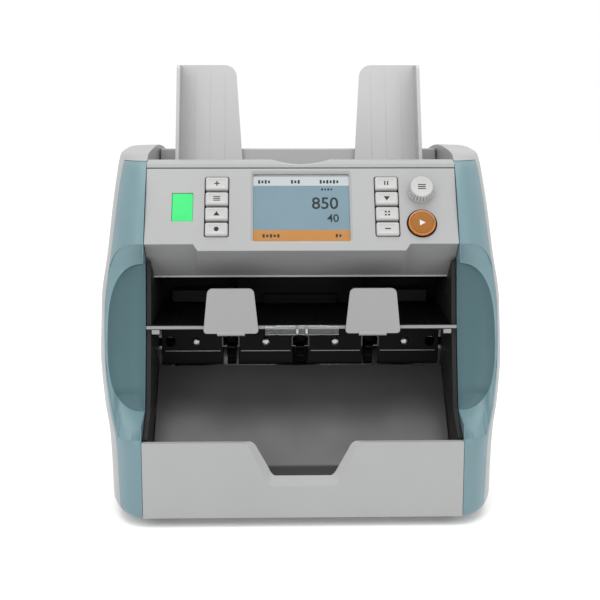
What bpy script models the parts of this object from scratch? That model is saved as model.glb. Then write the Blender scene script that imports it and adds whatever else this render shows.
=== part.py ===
"""A desktop banknote counting machine: hopper on top, reject pocket and stacker pocket in front.

Lengths in this file are millimetres until they are handed to Blender, which gets metres.
The design frame has x from the middle, y back from the front panel and z up from the table.
"""

import math

import bmesh
import bpy
from mathutils import Matrix, Vector

MM = 0.001
GAP = 0.3

# Driving dimensions
DEPTH = 250.0
SEAM_X = 102.3          # where the side columns begin
PANEL_X = 102.0         # half width of the front panel and the console
POCKET_X = 98.4         # half width inside the pocket liners
FLOOR_Z = 6.0           # underside of the base pan
PANEL_TOP = 55.5
WALL = 2.5

# Side columns: height, then the distance from the middle or from the front
OUTER_X = [(6, 123), (8, 125), (12, 126.2), (30, 126.6), (50, 127.4), (75, 132), (105, 134.9), (135, 134.9),
           (170, 131), (205, 128.2), (222, 126.8), (231.3, 126), (233.1, 125.3), (235, 123.3),
           (236.1, 118.4), (236.5, 108.4)]
FRONT_Y = [(6, 2.5), (8, 0.8), (12, 0), (50, 0), (62, 3.5), (116, 19), (177, 38.5), (224, 66),
           (228, 71), (232.5, 79), (234.7, 98), (235.6, 114), (236.5, 126)]
REAR_Y = [(6, 247), (12, 250), (190, 250), (214, 240), (228, 222), (233, 192), (235.5, 168), (236.5, 152)]
SPLIT_X = [(6, 115), (8, 117), (12, 117.8), (50, 119.3), (58, 120.5), (63, 122.4), (79, 126), (97, 128.3),
           (128, 129.6), (143, 129), (160, 127), (175, 125), (184, 124), (205, 122.2), (229, 119.4)]
SEAM_Y = [(6, 0), (55.5, 0), (56.6, 5), (69, 27), (122, 42), (162.5, 48), (177, 38.5), (224, 66),
          (236.5, 85)]
SIDE_LEVELS = [6, 8, 12, 30, 48, 56, 66, 80, 96, 112, 128, 144, 160, 177, 192, 208, 222, 228, 231.3, 233.1,
               235, 236.1, 236.5]
ROOF_START = 224.0      # above this the wall's thickness is taken off the height too
CORNER_DEPTH = 50.0     # how far back the rounded front corner runs
CORNER_STEPS = 8
TRIM_TOP = 228.5

# Grip bowl in each corner trim
EAR_X, EAR_Z, EAR_RISE, EAR_FOOT = 27.0, 128.0, 49.0, 56.6
SCOOP_X, SCOOP_Z, SCOOP_RISE = 24.5, 116.0, 47.0
SCOOP_POWER, SCOOP_DISH = 2.6, 5.0

# Control face: a tilted plane; t runs up the slope from its bottom edge, h out of the face
FACE_Y, FACE_Z = 38.5, 177.0
FACE_TOP_Y, FACE_TOP_Z = 66.0, 224.0
FACE_ANGLE = math.atan2(FACE_TOP_Z - FACE_Z, FACE_TOP_Y - FACE_Y)
KEY_COLUMNS = {"left": -55.4, "right": 56.0}
KEY_W, KEY_H, KEY_PITCH, KEY_FIRST = 14.8, 9.2, 10.9, 10.2
KEY_TOP, KEY_ROOT, KEY_TRAVEL = 1.6, -3.2, 1.2
LENS_X, LENS_T, LENS_W, LENS_H = -77.8, 26.4, 13.8, 20.2
WINDOW_W, WINDOW_H, WINDOW_T = 63.2, 48.2, 26.8
KNOB_X, KNOB_T, KNOB_R = 78.6, 37.4, 8.7
START_X, START_T, START_R = 78.4, 14.2, 8.9

# Transport, as (y, z) of each shaft
PICKUP = (116.0, 202.2)
DRUM = (178.0, 132.0)
STACKER = (107.0, 98.0)
MOTOR = (205.0, 42.0)
BELT_X = -109.0
COVER_HINGE = (246.0, 68.0)
STOP_HINGE = (36.6, 118.4)
STOP_X = 46.3
GUIDE_LEAN = math.atan2(26, 68)
RACK_Z = 219.0

COLOURS = {
    "body": ((0.58, 0.59, 0.59), 0.45, 0.0),
    "trim": ((0.20, 0.33, 0.38), 0.45, 0.0),
    "dark": ((0.02, 0.02, 0.022), 0.5, 0.0),
    "tray": ((0.09, 0.09, 0.092), 0.5, 0.0),
    "steel": ((0.45, 0.46, 0.47), 0.35, 1.0),
    "bar": ((0.5, 0.5, 0.5), 0.35, 0.6),
    "rubber": ((0.015, 0.015, 0.015), 0.85, 0.0),
    "key": ((0.62, 0.62, 0.61), 0.4, 0.0),
    "stop": ((0.46, 0.46, 0.45), 0.4, 0.0),
    "lens": ((0.09, 0.9, 0.32), 0.3, 0.0),
    "amber": ((0.68, 0.23, 0.03), 0.25, 0.0),
    "screen": ((0.25, 0.38, 0.44), 0.3, 0.0),
    "clear": ((0.85, 0.88, 0.9), 0.1, 0.0),
    "board": ((0.02, 0.12, 0.05), 0.5, 0.0),
    "roller": ((0.05, 0.05, 0.055), 0.7, 0.0),
}

PARTS = bpy.data.collections.new("banknote_counter")
CUTTERS = bpy.data.collections.new("cutters")


# ---------------------------------------------------------------- helpers

def clear_scene():
    for thing in list(bpy.data.objects):
        bpy.data.objects.remove(thing)
    bpy.context.scene.collection.children.link(PARTS)
    bpy.context.scene.collection.children.link(CUTTERS)


def place(x, y, z):
    """Design millimetres to world metres: the world's origin is under the middle of the machine."""
    return Vector((x * MM, (y - DEPTH / 2) * MM, z * MM))


def on_face(x, t, h=0.0):
    """A point of the control face."""
    y = FACE_Y + t * math.cos(FACE_ANGLE) - h * math.sin(FACE_ANGLE)
    z = FACE_Z + t * math.sin(FACE_ANGLE) + h * math.cos(FACE_ANGLE)
    return x, y, z


def painted(thing, name, colour):
    rgb, roughness, metallic = COLOURS[colour]
    material = bpy.data.materials.new(name)
    material.use_nodes = True
    shader = material.node_tree.nodes["Principled BSDF"]
    shader.inputs["Base Color"].default_value = (*rgb, 1.0)
    shader.inputs["Roughness"].default_value = roughness
    shader.inputs["Metallic"].default_value = metallic
    thing.data.materials.append(material)


def added(mesh, name, colour=None, location=(0, 0, 0), rotation=(0, 0, 0)):
    """An object of the machine, or a cutter where there is no colour."""
    thing = bpy.data.objects.new(name, mesh)
    thing.location = location
    thing.rotation_euler = rotation
    if colour:
        PARTS.objects.link(thing)
        painted(thing, name, colour)
    else:
        CUTTERS.objects.link(thing)
        thing.hide_render = True
        thing.display_type = "WIRE"
    return thing


def finished(bm, name):
    mesh = bpy.data.meshes.new(name)
    bmesh.ops.recalc_face_normals(bm, faces=bm.faces)
    bm.to_mesh(mesh)
    bm.free()
    return mesh


def block(name, size, centre, colour=None, rotation=(0, 0, 0)):
    bm = bmesh.new()
    bmesh.ops.create_cube(bm, size=1.0)
    bmesh.ops.scale(bm, vec=Vector(size) * MM, verts=bm.verts)
    return added(finished(bm, name), name, colour, place(*centre), rotation)


def box(name, xs, ys, zs, colour=None):
    size = (xs[1] - xs[0], ys[1] - ys[0], zs[1] - zs[0])
    centre = (sum(xs) / 2, sum(ys) / 2, sum(zs) / 2)
    return block(name, size, centre, colour)


def rod(name, radius, xs, y, z, colour=None, sides=24):
    """A round bar along x."""
    bm = bmesh.new()
    bmesh.ops.create_cone(bm, cap_ends=True, segments=sides, radius1=radius * MM, radius2=radius * MM,
                          depth=(xs[1] - xs[0]) * MM)
    return added(finished(bm, name), name, colour, place(sum(xs) / 2, y, z), (0, math.pi / 2, 0))


def disc(name, radius, height, location, rotation, colour=None, sides=32):
    bm = bmesh.new()
    bmesh.ops.create_cone(bm, cap_ends=True, segments=sides, radius1=radius * MM, radius2=radius * MM,
                          depth=height * MM)
    return added(finished(bm, name), name, colour, location, rotation)


FACINGS = {"x": (math.pi / 2, 0, math.pi / 2), "y": (math.pi / 2, 0, 0)}


def plate(name, outline, thickness, centre, facing, colour=None):
    """A flat outline given thickness; outline pairs are (y, z) facing x, (x, z) facing y."""
    curve = bpy.data.curves.new(name, "CURVE")
    curve.dimensions = "2D"
    curve.fill_mode = "BOTH"
    curve.extrude = thickness / 2 * MM
    spline = curve.splines.new("POLY")
    spline.points.add(len(outline) - 1)
    for point, (u, v) in zip(spline.points, outline):
        point.co = (u * MM, v * MM, 0, 1)
    spline.use_cyclic_u = True
    flat = bpy.data.objects.new(name, curve)
    CUTTERS.objects.link(flat)
    bpy.context.view_layer.update()
    mesh = bpy.data.meshes.new_from_object(flat.evaluated_get(bpy.context.evaluated_depsgraph_get()))
    bpy.data.objects.remove(flat)
    bm = bmesh.new()
    bm.from_mesh(mesh)
    bmesh.ops.remove_doubles(bm, verts=bm.verts, dist=1e-6)
    location = place(centre, 0, 0) if facing == "x" else place(0, centre, 0)
    return added(finished(bm, name), name, colour, location, FACINGS[facing])


def loft(name, sections, colour=None):
    """A closed solid through loops of equal point count, capped at both ends."""
    bm = bmesh.new()
    loops = [[bm.verts.new(place(*point)) for point in section] for section in sections]
    count = len(loops[0])
    for low, high in zip(loops, loops[1:]):
        for i in range(count):
            j = (i + 1) % count
            bm.faces.new((low[i], low[j], high[j], high[i]))
    bm.faces.new(loops[0])
    bm.faces.new(loops[-1])
    bmesh.ops.remove_doubles(bm, verts=bm.verts, dist=1e-6)
    bmesh.ops.triangulate(bm, faces=[f for f in bm.faces if len(f.verts) > 4])
    return added(finished(bm, name), name, colour)


def turned(name, profile, location, rotation, colour=None, steps=32):
    """A turned solid: profile pairs are (radius, height), top to bottom, both ends on the axis."""
    mesh = bpy.data.meshes.new(name)
    points = [(r * MM, 0, h * MM) for r, h in profile]
    mesh.from_pydata(points, [(i, i + 1) for i in range(len(points) - 1)], [])
    thing = added(mesh, name, colour, location, rotation)
    screw = thing.modifiers.new("turn", "SCREW")
    screw.steps = steps
    screw.render_steps = steps
    screw.use_merge_vertices = True
    screw.merge_threshold = 0.00001
    return thing


def boolean(thing, other, operation):
    modifier = thing.modifiers.new(other.name, "BOOLEAN")
    modifier.operation = operation
    modifier.object = other
    modifier.solver = "EXACT"


def cut(thing, *others):
    for other in others:
        boolean(thing, other, "DIFFERENCE")


def join(thing, *others):
    for other in others:
        boolean(thing, other, "UNION")


def rounded(thing, width, segments=2, angle=35):
    bevel = thing.modifiers.new("edges", "BEVEL")
    bevel.width = width * MM
    bevel.segments = segments
    bevel.limit_method = "ANGLE"
    bevel.angle_limit = math.radians(angle)


def strip(path, thickness):
    """The closed outline of a bent sheet: the path, and the same path moved to its left by the thickness."""
    back = []
    for i, (y, z) in enumerate(path):
        before = Vector(path[i]) - Vector(path[i - 1]) if i else Vector(path[1]) - Vector(path[0])
        after = Vector(path[i + 1]) - Vector(path[i]) if i < len(path) - 1 else before
        normal_a = Vector((-before.y, before.x)).normalized()
        normal_b = Vector((-after.y, after.x)).normalized()
        mitre = (normal_a + normal_b) / (1 + normal_a.dot(normal_b))
        back.append((y + mitre.x * thickness, z + mitre.y * thickness))
    return list(path) + back[::-1]


def arc(cx, cy, radius, start, end, steps):
    angles = [math.radians(start + (end - start) * i / steps) for i in range(steps + 1)]
    return [(cx + radius * math.cos(a), cy + radius * math.sin(a)) for a in angles]


def through(points, at):
    """A smooth curve through rising points that never overshoots them."""
    if at <= points[0][0]:
        return points[0][1]
    if at >= points[-1][0]:
        return points[-1][1]
    slopes = [(b[1] - a[1]) / (b[0] - a[0]) for a, b in zip(points, points[1:])]
    tangents = [slopes[0]]
    for left, right in zip(slopes, slopes[1:]):
        tangents.append(0.0 if left * right <= 0 else 2 * left * right / (left + right))
    tangents.append(slopes[-1])
    i = max(k for k in range(len(points) - 1) if points[k][0] <= at)
    (x0, y0), (x1, y1) = points[i], points[i + 1]
    span = x1 - x0
    s = (at - x0) / span
    return ((1 + 2 * s) * (1 - s) ** 2 * y0 + s * (1 - s) ** 2 * span * tangents[i]
            + s * s * (3 - 2 * s) * y1 + s * s * (s - 1) * span * tangents[i + 1])


def straight(points, at):
    for (x0, y0), (x1, y1) in zip(points, points[1:]):
        if at <= x1:
            return y0 + (y1 - y0) * max(0.0, at - x0) / (x1 - x0)
    return points[-1][1]


# ---------------------------------------------------------------- side columns

def corner_y(x, z):
    """The column's outer skin in front: how far back it is at this x."""
    front = through(FRONT_Y, z)
    share = (x - SEAM_X) / (through(OUTER_X, z) - SEAM_X)
    return front + corner_depth(z) * (1 - math.sqrt(max(0.0, 1 - share * share)))


def corner_depth(z):
    """How far back the rounded front corner runs; it shrinks with the roof."""
    return min(CORNER_DEPTH, 0.6 * (through(REAR_Y, z) - through(FRONT_Y, z)))


def split_y(z):
    return corner_y(through(SPLIT_X, z), z)


def column_section(z, side, inset=0.0, inner_x=SEAM_X):
    """Plan of a whole side column at one height, inset by a wall."""
    front = through(FRONT_Y, z) + inset
    outer = through(OUTER_X, z) - inset
    rear = through(REAR_Y, z) - inset
    points = []
    for i in range(CORNER_STEPS + 1):
        a = math.pi / 2 * i / CORNER_STEPS
        points.append((inner_x + (outer - inner_x) * math.sin(a),
                       front + corner_depth(z) * (1 - math.cos(a))))
    radius = min(14 - inset, outer - inner_x - 0.5, 0.3 * (rear - front))
    points += [(outer - radius + radius * math.cos(a), rear - radius + radius * math.sin(a))
               for a in (math.pi / 8 * i for i in range(5))]
    points.append((inner_x, rear))
    height = z - inset if z > ROOF_START else z
    return [(side * x, y, height) for x, y in points]


def side_cover(side, word):
    """Light outer shell with its roof, open towards the middle and downwards."""
    name = f"side_cover_{word}"
    cover = loft(name, [column_section(z, side) for z in SIDE_LEVELS], "body")
    hollow = loft(f"{name}_hollow", [
        [(x, y, -4.0 if z < 0 else h) for x, y, h in column_section(max(z, 6), side, WALL, SEAM_X + WALL)]
        for z in [-4.0] + SIDE_LEVELS])
    window = box(f"{name}_window", sorted((side * 90, side * (SEAM_X + WALL + 1))),
                 (-10, DEPTH - WALL), (-5, 196))
    levels = [z for z in SIDE_LEVELS if z < TRIM_TOP] + [TRIM_TOP + GAP / 2]
    line = [(split_y(z) + GAP / 2, z) for z in levels]
    wedge_outline = [(-30, -6), (line[0][0], -6)] + line + [(-30, TRIM_TOP + GAP / 2)]
    wedge = plate(f"{name}_wedge", wedge_outline, 60, side * 120, "x")
    cut(cover, hollow, window, wedge)


def trim_section(z, side):
    """Plan of the coloured corner trim at one height: skin in front, flat behind."""
    edge = through(SPLIT_X, z)
    outer = through(OUTER_X, z)
    front = through(FRONT_Y, z)
    last = math.asin((edge - SEAM_X) / (outer - SEAM_X))
    points = [(SEAM_X + (outer - SEAM_X) * math.sin(last * i / CORNER_STEPS),
               front + corner_depth(z) * (1 - math.cos(last * i / CORNER_STEPS)))
              for i in range(CORNER_STEPS + 1)]
    back = split_y(z) - GAP / 2
    points[-1] = (points[-1][0], back)
    deep = max(back, straight(SEAM_Y, z) + 7)
    lip = 3.8 if z < 200 else 5.6
    points += [(edge - lip, back), (edge - lip, back + 3), (edge - 7, deep), (SEAM_X, deep)]
    return [(side * x, y, z) for x, y in points]


def deepest_y(x, z):
    """How far back the bowl may cut at this point and still leave a wall in the trim."""
    return split_y(z) - 1.5 + 2.2 * max(0.0, through(SPLIT_X, z) - 4.0 - x)


def ear_point(t):
    """The bowl's outer edge on the trim's skin, t from 0 at its foot to 1 at its top."""
    if t < 0.2:
        return SEAM_X + max(0.4, 16 * t / 0.2), EAR_FOOT
    if t < 0.6:
        drop = 1 - (t - 0.2) / 0.4
        return SEAM_X + EAR_X - 11.0 * drop ** 2.2, EAR_Z - (EAR_Z - EAR_FOOT) * drop
    a = math.pi / 2 * (t - 0.6) / 0.4
    x = SEAM_X + max(0.4, EAR_X * max(0.0, math.cos(a)) ** (2 / 3))
    return x, EAR_Z + EAR_RISE * math.sin(a) ** (2 / 3)


def rim_point(t):
    """The scoop's crisp rim: a superellipse in a leaning plane, kept in front of the trim's back."""
    a = math.pi * (t - 0.5)
    x = SEAM_X + max(0.3, SCOOP_X * max(0.0, math.cos(a)) ** (2 / SCOOP_POWER))
    z = SCOOP_Z + SCOOP_RISE * math.copysign(abs(math.sin(a)) ** (2 / SCOOP_POWER), math.sin(a))
    return x, min(27 + 21 * (z - 69) / 94, deepest_y(x, z)), z


def bowl_cutter(name, side):
    """The grip bowl: a bevelled rim, then a dished scoop that opens towards the pocket."""
    steps = 28
    rows = []
    for i in range(steps + 1):
        ear_x, ear_z = ear_point(i / steps)
        rim_x, rim_y, rim_z = rim_point(i / steps)
        ear_y = min(corner_y(ear_x, ear_z) + 0.6, max(split_y(ear_z) - 1.0, corner_y(ear_x, ear_z) + 0.05))
        mid_x, mid_z = (ear_x + rim_x) / 2, (ear_z + rim_z) / 2
        mid_y = min((ear_y + rim_y) / 2, deepest_y(mid_x, mid_z))
        row = [(90, -40, ear_z), (ear_x, -40, ear_z), (ear_x, ear_y, ear_z), (mid_x, mid_y, mid_z),
               (rim_x, rim_y, rim_z)]
        seam = straight(SEAM_Y, rim_z)
        for share in (0.85, 0.65, 0.4, 0.2, 0.0):
            x = SEAM_X + (rim_x - SEAM_X) * share
            dish = SCOOP_DISH * 4 * share * (1 - share) * (rim_x - SEAM_X) / SCOOP_X
            row.append((x, seam + (rim_y - seam) * share + dish, rim_z))
        row.append((90, seam, rim_z))
        rows.append([(side * x, y, z) for x, y, z in row])
    return loft(name, rows)


def corner_trim(side, word):
    name = f"corner_trim_{word}"
    levels = [z for z in SIDE_LEVELS if z < TRIM_TOP - 1]
    levels += [TRIM_TOP - GAP / 2]
    trim = loft(name, [trim_section(z, side) for z in levels], "trim")
    cut(trim, bowl_cutter(f"{name}_bowl", side))


def side_frame(side, word):
    """Inner steel plate that carries the shafts."""
    outline = [(15, 9.5), (15, 54), (38, 69), (52, 122), (59, 163), (61, 180), (68, 193), (232, 193),
               (244, 180), (244, 9.5)]
    frame = plate(f"side_frame_{word}", outline, 2.0, side * 104.0, "x", "steel")
    if side < 0:
        for label, (y, z) in {"pickup": PICKUP, "drum": DRUM, "stacker": STACKER, "motor": MOTOR}.items():
            if z < 190:
                cut(frame, rod(f"{label}_hole", 5.0, (-107, -101), y, z, sides=20))


# ---------------------------------------------------------------- base and pockets

def base_and_feet():
    box("base_pan", (-111, 111), (18, 236), (FLOOR_Z, 8.5), "steel")
    spots = [(-92, 26), (92, 26), (-92, 224), (92, 224)]
    for number, (x, y) in enumerate(spots, 1):
        profile = [(0, 5.7), (10, 5.7), (9.4, 2.2), (8.2, 0), (0, 0)]
        turned(f"foot_{number}", profile, place(x, y, 0), (0, 0, 0), "rubber", 20)


def eased(start, corner, end, steps):
    """A quadratic curve from start to end that leaves and arrives along the lines to the corner."""
    shares = [i / steps for i in range(1, steps + 1)]
    return [((1 - s) ** 2 * start[0] + 2 * s * (1 - s) * corner[0] + s * s * end[0],
             (1 - s) ** 2 * start[1] + 2 * s * (1 - s) * corner[1] + s * s * end[1]) for s in shares]


def notch_section(y, half_floor, floor, lower, upper):
    """Finger notch: flat floor, steep straight flanks, then a curve out to the panel's top edge."""
    run = (upper[0] - lower[0]) / (upper[1] - lower[1])
    knee = upper[0] + run * (PANEL_TOP - upper[1])
    brim = (knee + 3.4, PANEL_TOP + 0.1)
    right = [(half_floor, floor)] + eased((half_floor, floor), (half_floor + 1.4, floor), lower, 4)
    right += [upper] + eased(upper, (knee, PANEL_TOP), brim, 4) + [(brim[0], PANEL_TOP + 8)]
    left = [(-x, z) for x, z in reversed(right)]
    return [(x, y, z) for x, z in right + left]


def front_panel():
    panel = box("front_panel", (-PANEL_X, PANEL_X), (0, 4), (FLOOR_Z, PANEL_TOP), "body")
    notch = loft("notch", [notch_section(-0.6, 20.8, 26.2, (23.8, 29), (34.0, 51)),
                           notch_section(4.6, 17.2, 33.6, (20.5, 36.5), (29.0, 52.0))])
    cut(panel, notch)


def stacker_tray():
    path = [(4.5, 28), (26.6, 28), (84, 84.6)]
    plate("stacker_tray", strip(path, 3), 2 * POCKET_X, 0, "x", "tray")


def pocket_liner(side, word):
    outline = [(6, 27), (6, 56.6), (28, 69.6), (42.8, 122), (48.6, 158), (48.8, 165), (70, 149), (126, 149),
               (126, 118), (91, 118), (91, 27)]
    plate(f"pocket_liner_{word}", outline, 3.0, side * 100.3, "x", "tray")


def stacker_backplate():
    wall = box("stacker_backplate", (-96.5, 96.5), (84, 87), (96, 117.5), "dark")
    step = box("backplate_step", (-96.5, 96.5), (86.5, 89.5), (88.5, 99))
    join(wall, step)
    for number, x in enumerate((-48.5, 0, 48.5), 1):
        outline = ([(x - 5.3, 84), (x + 5.3, 84)] + arc(x + 3.3, 105.5, 2, 0, 90, 3)
                   + arc(x - 3.3, 105.5, 2, 90, 180, 3))
        cut(wall, plate(f"wheel_notch_{number}", outline, 12, 87, "y"))
    for number, x in enumerate((-90.4, 90.4), 1):
        hole = disc(f"plate_hole_{number}", 3.4, 12, place(x, 86, 103), (math.pi / 2, 0, 0), sides=20)
        cut(wall, hole)
    for number, x in enumerate((-72.6, -24.2, 24.2, 72.6), 1):
        profile = [(0, 1.6), (1.6, 1.5), (2.9, 0.6), (2.9, 0), (0, 0)]
        at = place(x, 84 - GAP, 103)
        head = turned(f"backplate_screw_{number}", profile, at, (math.pi / 2, 0, 0), "steel", 16)
        cut(head, block(f"slot_a_{number}", (3.2, 1.2, 0.7), (x, 84 - GAP - 1.5, 103)),
            block(f"slot_b_{number}", (0.7, 1.2, 3.2), (x, 84 - GAP - 1.5, 103)))


def reject_pocket():
    path = [(42.6, 119.4), (126, 124.4), (126, 147)]
    plate("reject_floor", strip(path, 2.2), 2 * POCKET_X, 0, "x", "dark")
    box("reject_bar", (-101.8, 101.8), (39.4, 41.9), (120.8, 123.0), "bar")
    prism = box("sensor_prism", (-24, 24), (35.4, 39.1), (117.4, 122.6), "clear")
    rounded(prism, 0.6)
    for word, side in (("left", -1), ("right", 1)):
        x = side * STOP_X
        outline = ([(x - 17.8, 120.6), (x - 15.8, 118.6), (x + 15.8, 118.6), (x + 17.8, 120.6)]
                   + arc(x + 11.8, 144.7, 3.5, 10, 90, 4) + arc(x - 11.8, 144.7, 3.5, 90, 170, 4))
        moved = [(u - x, v - STOP_HINGE[1]) for u, v in outline]
        stop = plate(f"reject_stop_{word}", moved, 2.0, STOP_HINGE[0], "y", "stop")
        stop.location = place(x, *STOP_HINGE)
        join(stop, rod(f"stop_barrel_{word}", 1.5, (x - 9, x + 9), *STOP_HINGE, sides=14))


# ---------------------------------------------------------------- console

def console_housing():
    """Control face, underside with a lower middle part, and the reject pocket's ceiling, as one moulding."""
    sections = []
    for x, drop in ((-PANEL_X, 0), (-70.4, 0), (-67.3, 4.7), (67.3, 4.7), (70.4, 0), (PANEL_X, 0)):
        _, y, z = on_face(0, -drop)
        path = [(124, 153.5), (69, 151.6), (y, z), (FACE_TOP_Y, FACE_TOP_Z)]
        sections.append([(x, v, w) for v, w in strip(path[::-1], WALL)])
    housing = loft("console_housing", sections, "body")
    tilt = (FACE_ANGLE, 0, 0)
    for word, x in KEY_COLUMNS.items():
        middle = KEY_FIRST + 1.5 * KEY_PITCH
        cut(housing, block(f"key_slot_{word}", (KEY_W + 1.2, 3 * KEY_PITCH + KEY_H + 1.2, 9),
                           on_face(x, middle, -1), None, tilt))
    cut(housing, block("window_slot", (WINDOW_W, WINDOW_H, 9), on_face(0, WINDOW_T, -1), None, tilt))
    cut(housing, block("lens_slot", (LENS_W, LENS_H, 9), on_face(LENS_X, LENS_T, -1), None, tilt))
    cut(housing, disc("knob_hole", 3.4, 9, place(*on_face(KNOB_X, KNOB_T, -1)), tilt, sides=24))
    cut(housing, disc("start_hole", START_R + GAP, 9, place(*on_face(START_X, START_T, -1)), tilt))


def controls():
    tilt = (FACE_ANGLE, 0, 0)
    for word, x in KEY_COLUMNS.items():
        for number in range(4):
            t = KEY_FIRST + number * KEY_PITCH
            key = block(f"key_{word}_{number + 1}", (KEY_W, KEY_H, KEY_TOP - KEY_ROOT),
                        on_face(x, t, (KEY_TOP + KEY_ROOT) / 2), "key", tilt)
            rounded(key, 0.9)
    block("display_window", (WINDOW_W - 0.8, WINDOW_H - 0.8, 1.2), on_face(0, WINDOW_T, -1.8), "clear", tilt)
    module = block("display_module", (70, 52, 4), on_face(0, WINDOW_T, -5.0), "screen", tilt)
    board = block("display_board", (186, 44, 1.6), on_face(0, WINDOW_T + 1, -7.5), None, tilt)
    join(module, board)
    lens = block("status_lens", (LENS_W - 0.6, LENS_H - 0.6, 3.2), on_face(LENS_X, LENS_T, -1.9),
                 "lens", tilt)
    rounded(lens, 0.4, 1)
    block("menu_encoder", (12, 12, 3), on_face(KNOB_X, KNOB_T, -4.9), "dark", tilt)
    knob_at = place(*on_face(KNOB_X, KNOB_T))
    turned("menu_spindle", [(0, 5.3), (2.9, 5.3), (2.9, -2.7), (0, -2.7)], knob_at, tilt, "steel", 20)
    knob_profile = [(0, 7.5), (6.9, 7.5), (7.5, 6.8), (8.5, 1.4), (KNOB_R, 0.5), (3.2, 0.5), (3.2, 5.8),
                    (0, 5.8)]
    knob = turned("menu_knob", knob_profile, knob_at, tilt, "key", 36)
    for i in range(18):
        a = math.tau * i / 18
        spot = on_face(KNOB_X + KNOB_R * math.cos(a), KNOB_T + KNOB_R * math.sin(a), 2.6)
        cut(knob, disc(f"knob_flute_{i}", 0.6, 5.0, place(*spot), tilt, sides=8))
    start_at = place(*on_face(START_X, START_T))
    bezel_profile = [(START_R + 0.3, 0.3), (START_R + 0.35, 0.6), (START_R + 0.95, 0.5),
                     (START_R + 1.0, 0.05), (START_R + 0.3, 0.05), (START_R + 0.3, 0.3)]
    turned("start_bezel", bezel_profile, start_at, tilt, "dark", 36)
    button_profile = [(0, 1.8), (7.2, 1.5), (8.2, 2.3), (8.7, 2.0), (START_R, 1.3), (START_R, -4.0),
                      (0, -4.0)]
    turned("start_button", button_profile, start_at, tilt, "amber", 36)


def hopper_lip():
    outline = [(66.4, 224.6), (67.6, 227.4), (75, 229.4), (79, 228.2), (81.5, 225.4), (76, 221.6),
               (69.0, 222.8)]
    lip = plate("hopper_lip", outline, 2 * PANEL_X, 0, "x", "body")
    cut(lip, disc("finger_dip", 60, 28, place(0, 70, 286), (math.pi / 2, 0, 0), sides=64))


# ---------------------------------------------------------------- hopper

def floor_z(y):
    return 223.0 - (y - 82.0) * 0.37


def hopper():
    path = [(82, floor_z(82) - 2), (142, floor_z(142) - 2)]
    floor = plate("hopper_floor", strip(path, 2), 2 * (SEAM_X - 0.8), 0, "x", "tray")
    for number, x in enumerate((-30, 30), 1):
        cut(floor, box(f"roller_slot_{number}", (x - 9, x + 9), (104, 128), (195, 225)))
    lean = math.tan(GUIDE_LEAN)
    path = [(150 - 18 * lean + 2.2, 208), (150 + 7 * lean + 2.2, 233), (161, 233)]
    back = plate("hopper_back", strip(path[::-1], 2.4), 2 * (SEAM_X - 0.8), 0, "x", "body")
    cut(back, box("guide_slot", (-92, 92), (140, 158), (214, 222)))
    for word, side in (("left", -1), ("right", 1)):
        guide(word, side)
    turned("guide_pinion", [(0, 3), (8, 3), (8, -3), (0, -3)], place(0, 165.5, RACK_Z),
           (math.pi / 2, 0, 0), "dark", 24)


def guide(word, side):
    """Side guide: a leaning plate with a forward flange, and a rack bar behind the hopper's back wall."""
    height = 82 / math.cos(GUIDE_LEAN)
    foot = place(side * 66, 144.6, 212)
    top, low, outer, r = 45.6 - 66, 40.2 - 66, 88.7 - 66, 9
    outline = [(low, 0), (outer, 0), (outer, height)] + [
        (top + r - r * math.sin(a), height - r + r * math.cos(a)) for a in (0, 0.4, 0.8, 1.2, math.pi / 2)]
    outline = [(side * u, v) for u, v in outline]
    name = f"guide_{word}"
    panel = plate(name, outline, 2.4, 0, "y", "body")
    panel.location = foot
    panel.rotation_euler = (math.pi / 2 - GUIDE_LEAN, 0, 0)
    run = 82 * math.tan(GUIDE_LEAN)
    outline = [(123.6, 212), (145, 212), (145 + run, 294)] + [
        (123.6 + run + 5 - 5 * math.sin(a), 294 - 5 + 5 * math.cos(a)) for a in (0.4, 0.8, 1.2)]
    flange = plate(f"{name}_flange", outline, 2.4, side * 87.5, "x")
    bar_z = RACK_Z + side * 9.6
    lug = box(f"{name}_lug", sorted((side * 60, side * 72)), (146.5, 163.3), (216, 220))
    post = box(f"{name}_post", sorted((side * 60, side * 72)), (161, 166.5),
               sorted((RACK_Z - side * 1.5, bar_z)))
    bar = box(f"{name}_bar", sorted((side * 72, -side * 26)), (162.8, 168.2), (bar_z - 1.2, bar_z + 1.2))
    join(panel, flange, lug, post, bar)


# ---------------------------------------------------------------- transport and rear

def shaft(name, spot, radius, reach, rollers, colour="steel", pulley=None):
    """A shaft along x with its rollers, and a pulley outside the left frame."""
    y, z = spot
    bar = rod(name, radius, reach, y, z, colour, 16)
    for number, (x, width, size) in enumerate(rollers, 1):
        join(bar, rod(f"{name}_roller_{number}", size, (x - width / 2, x + width / 2), y, z, sides=28))
    if pulley:
        join(bar, rod(f"{name}_pulley", pulley, (BELT_X - 3, BELT_X + 3), y, z, sides=24))
    return bar


def tangent_loop(first, second, extra):
    """Outline of a belt round two pulleys, given as (y, z, radius), this far outside them."""
    (y0, z0, r0), (y1, z1, r1) = first, second
    length = math.hypot(y1 - y0, z1 - z0)
    heading = math.degrees(math.atan2(z1 - z0, y1 - y0))
    spread = math.degrees(math.acos((r0 - r1) / length))
    return (arc(y0, z0, r0 + extra, heading + spread, heading + 360 - spread, 14)
            + arc(y1, z1, r1 + extra, heading - spread, heading + spread, 10))


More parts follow.
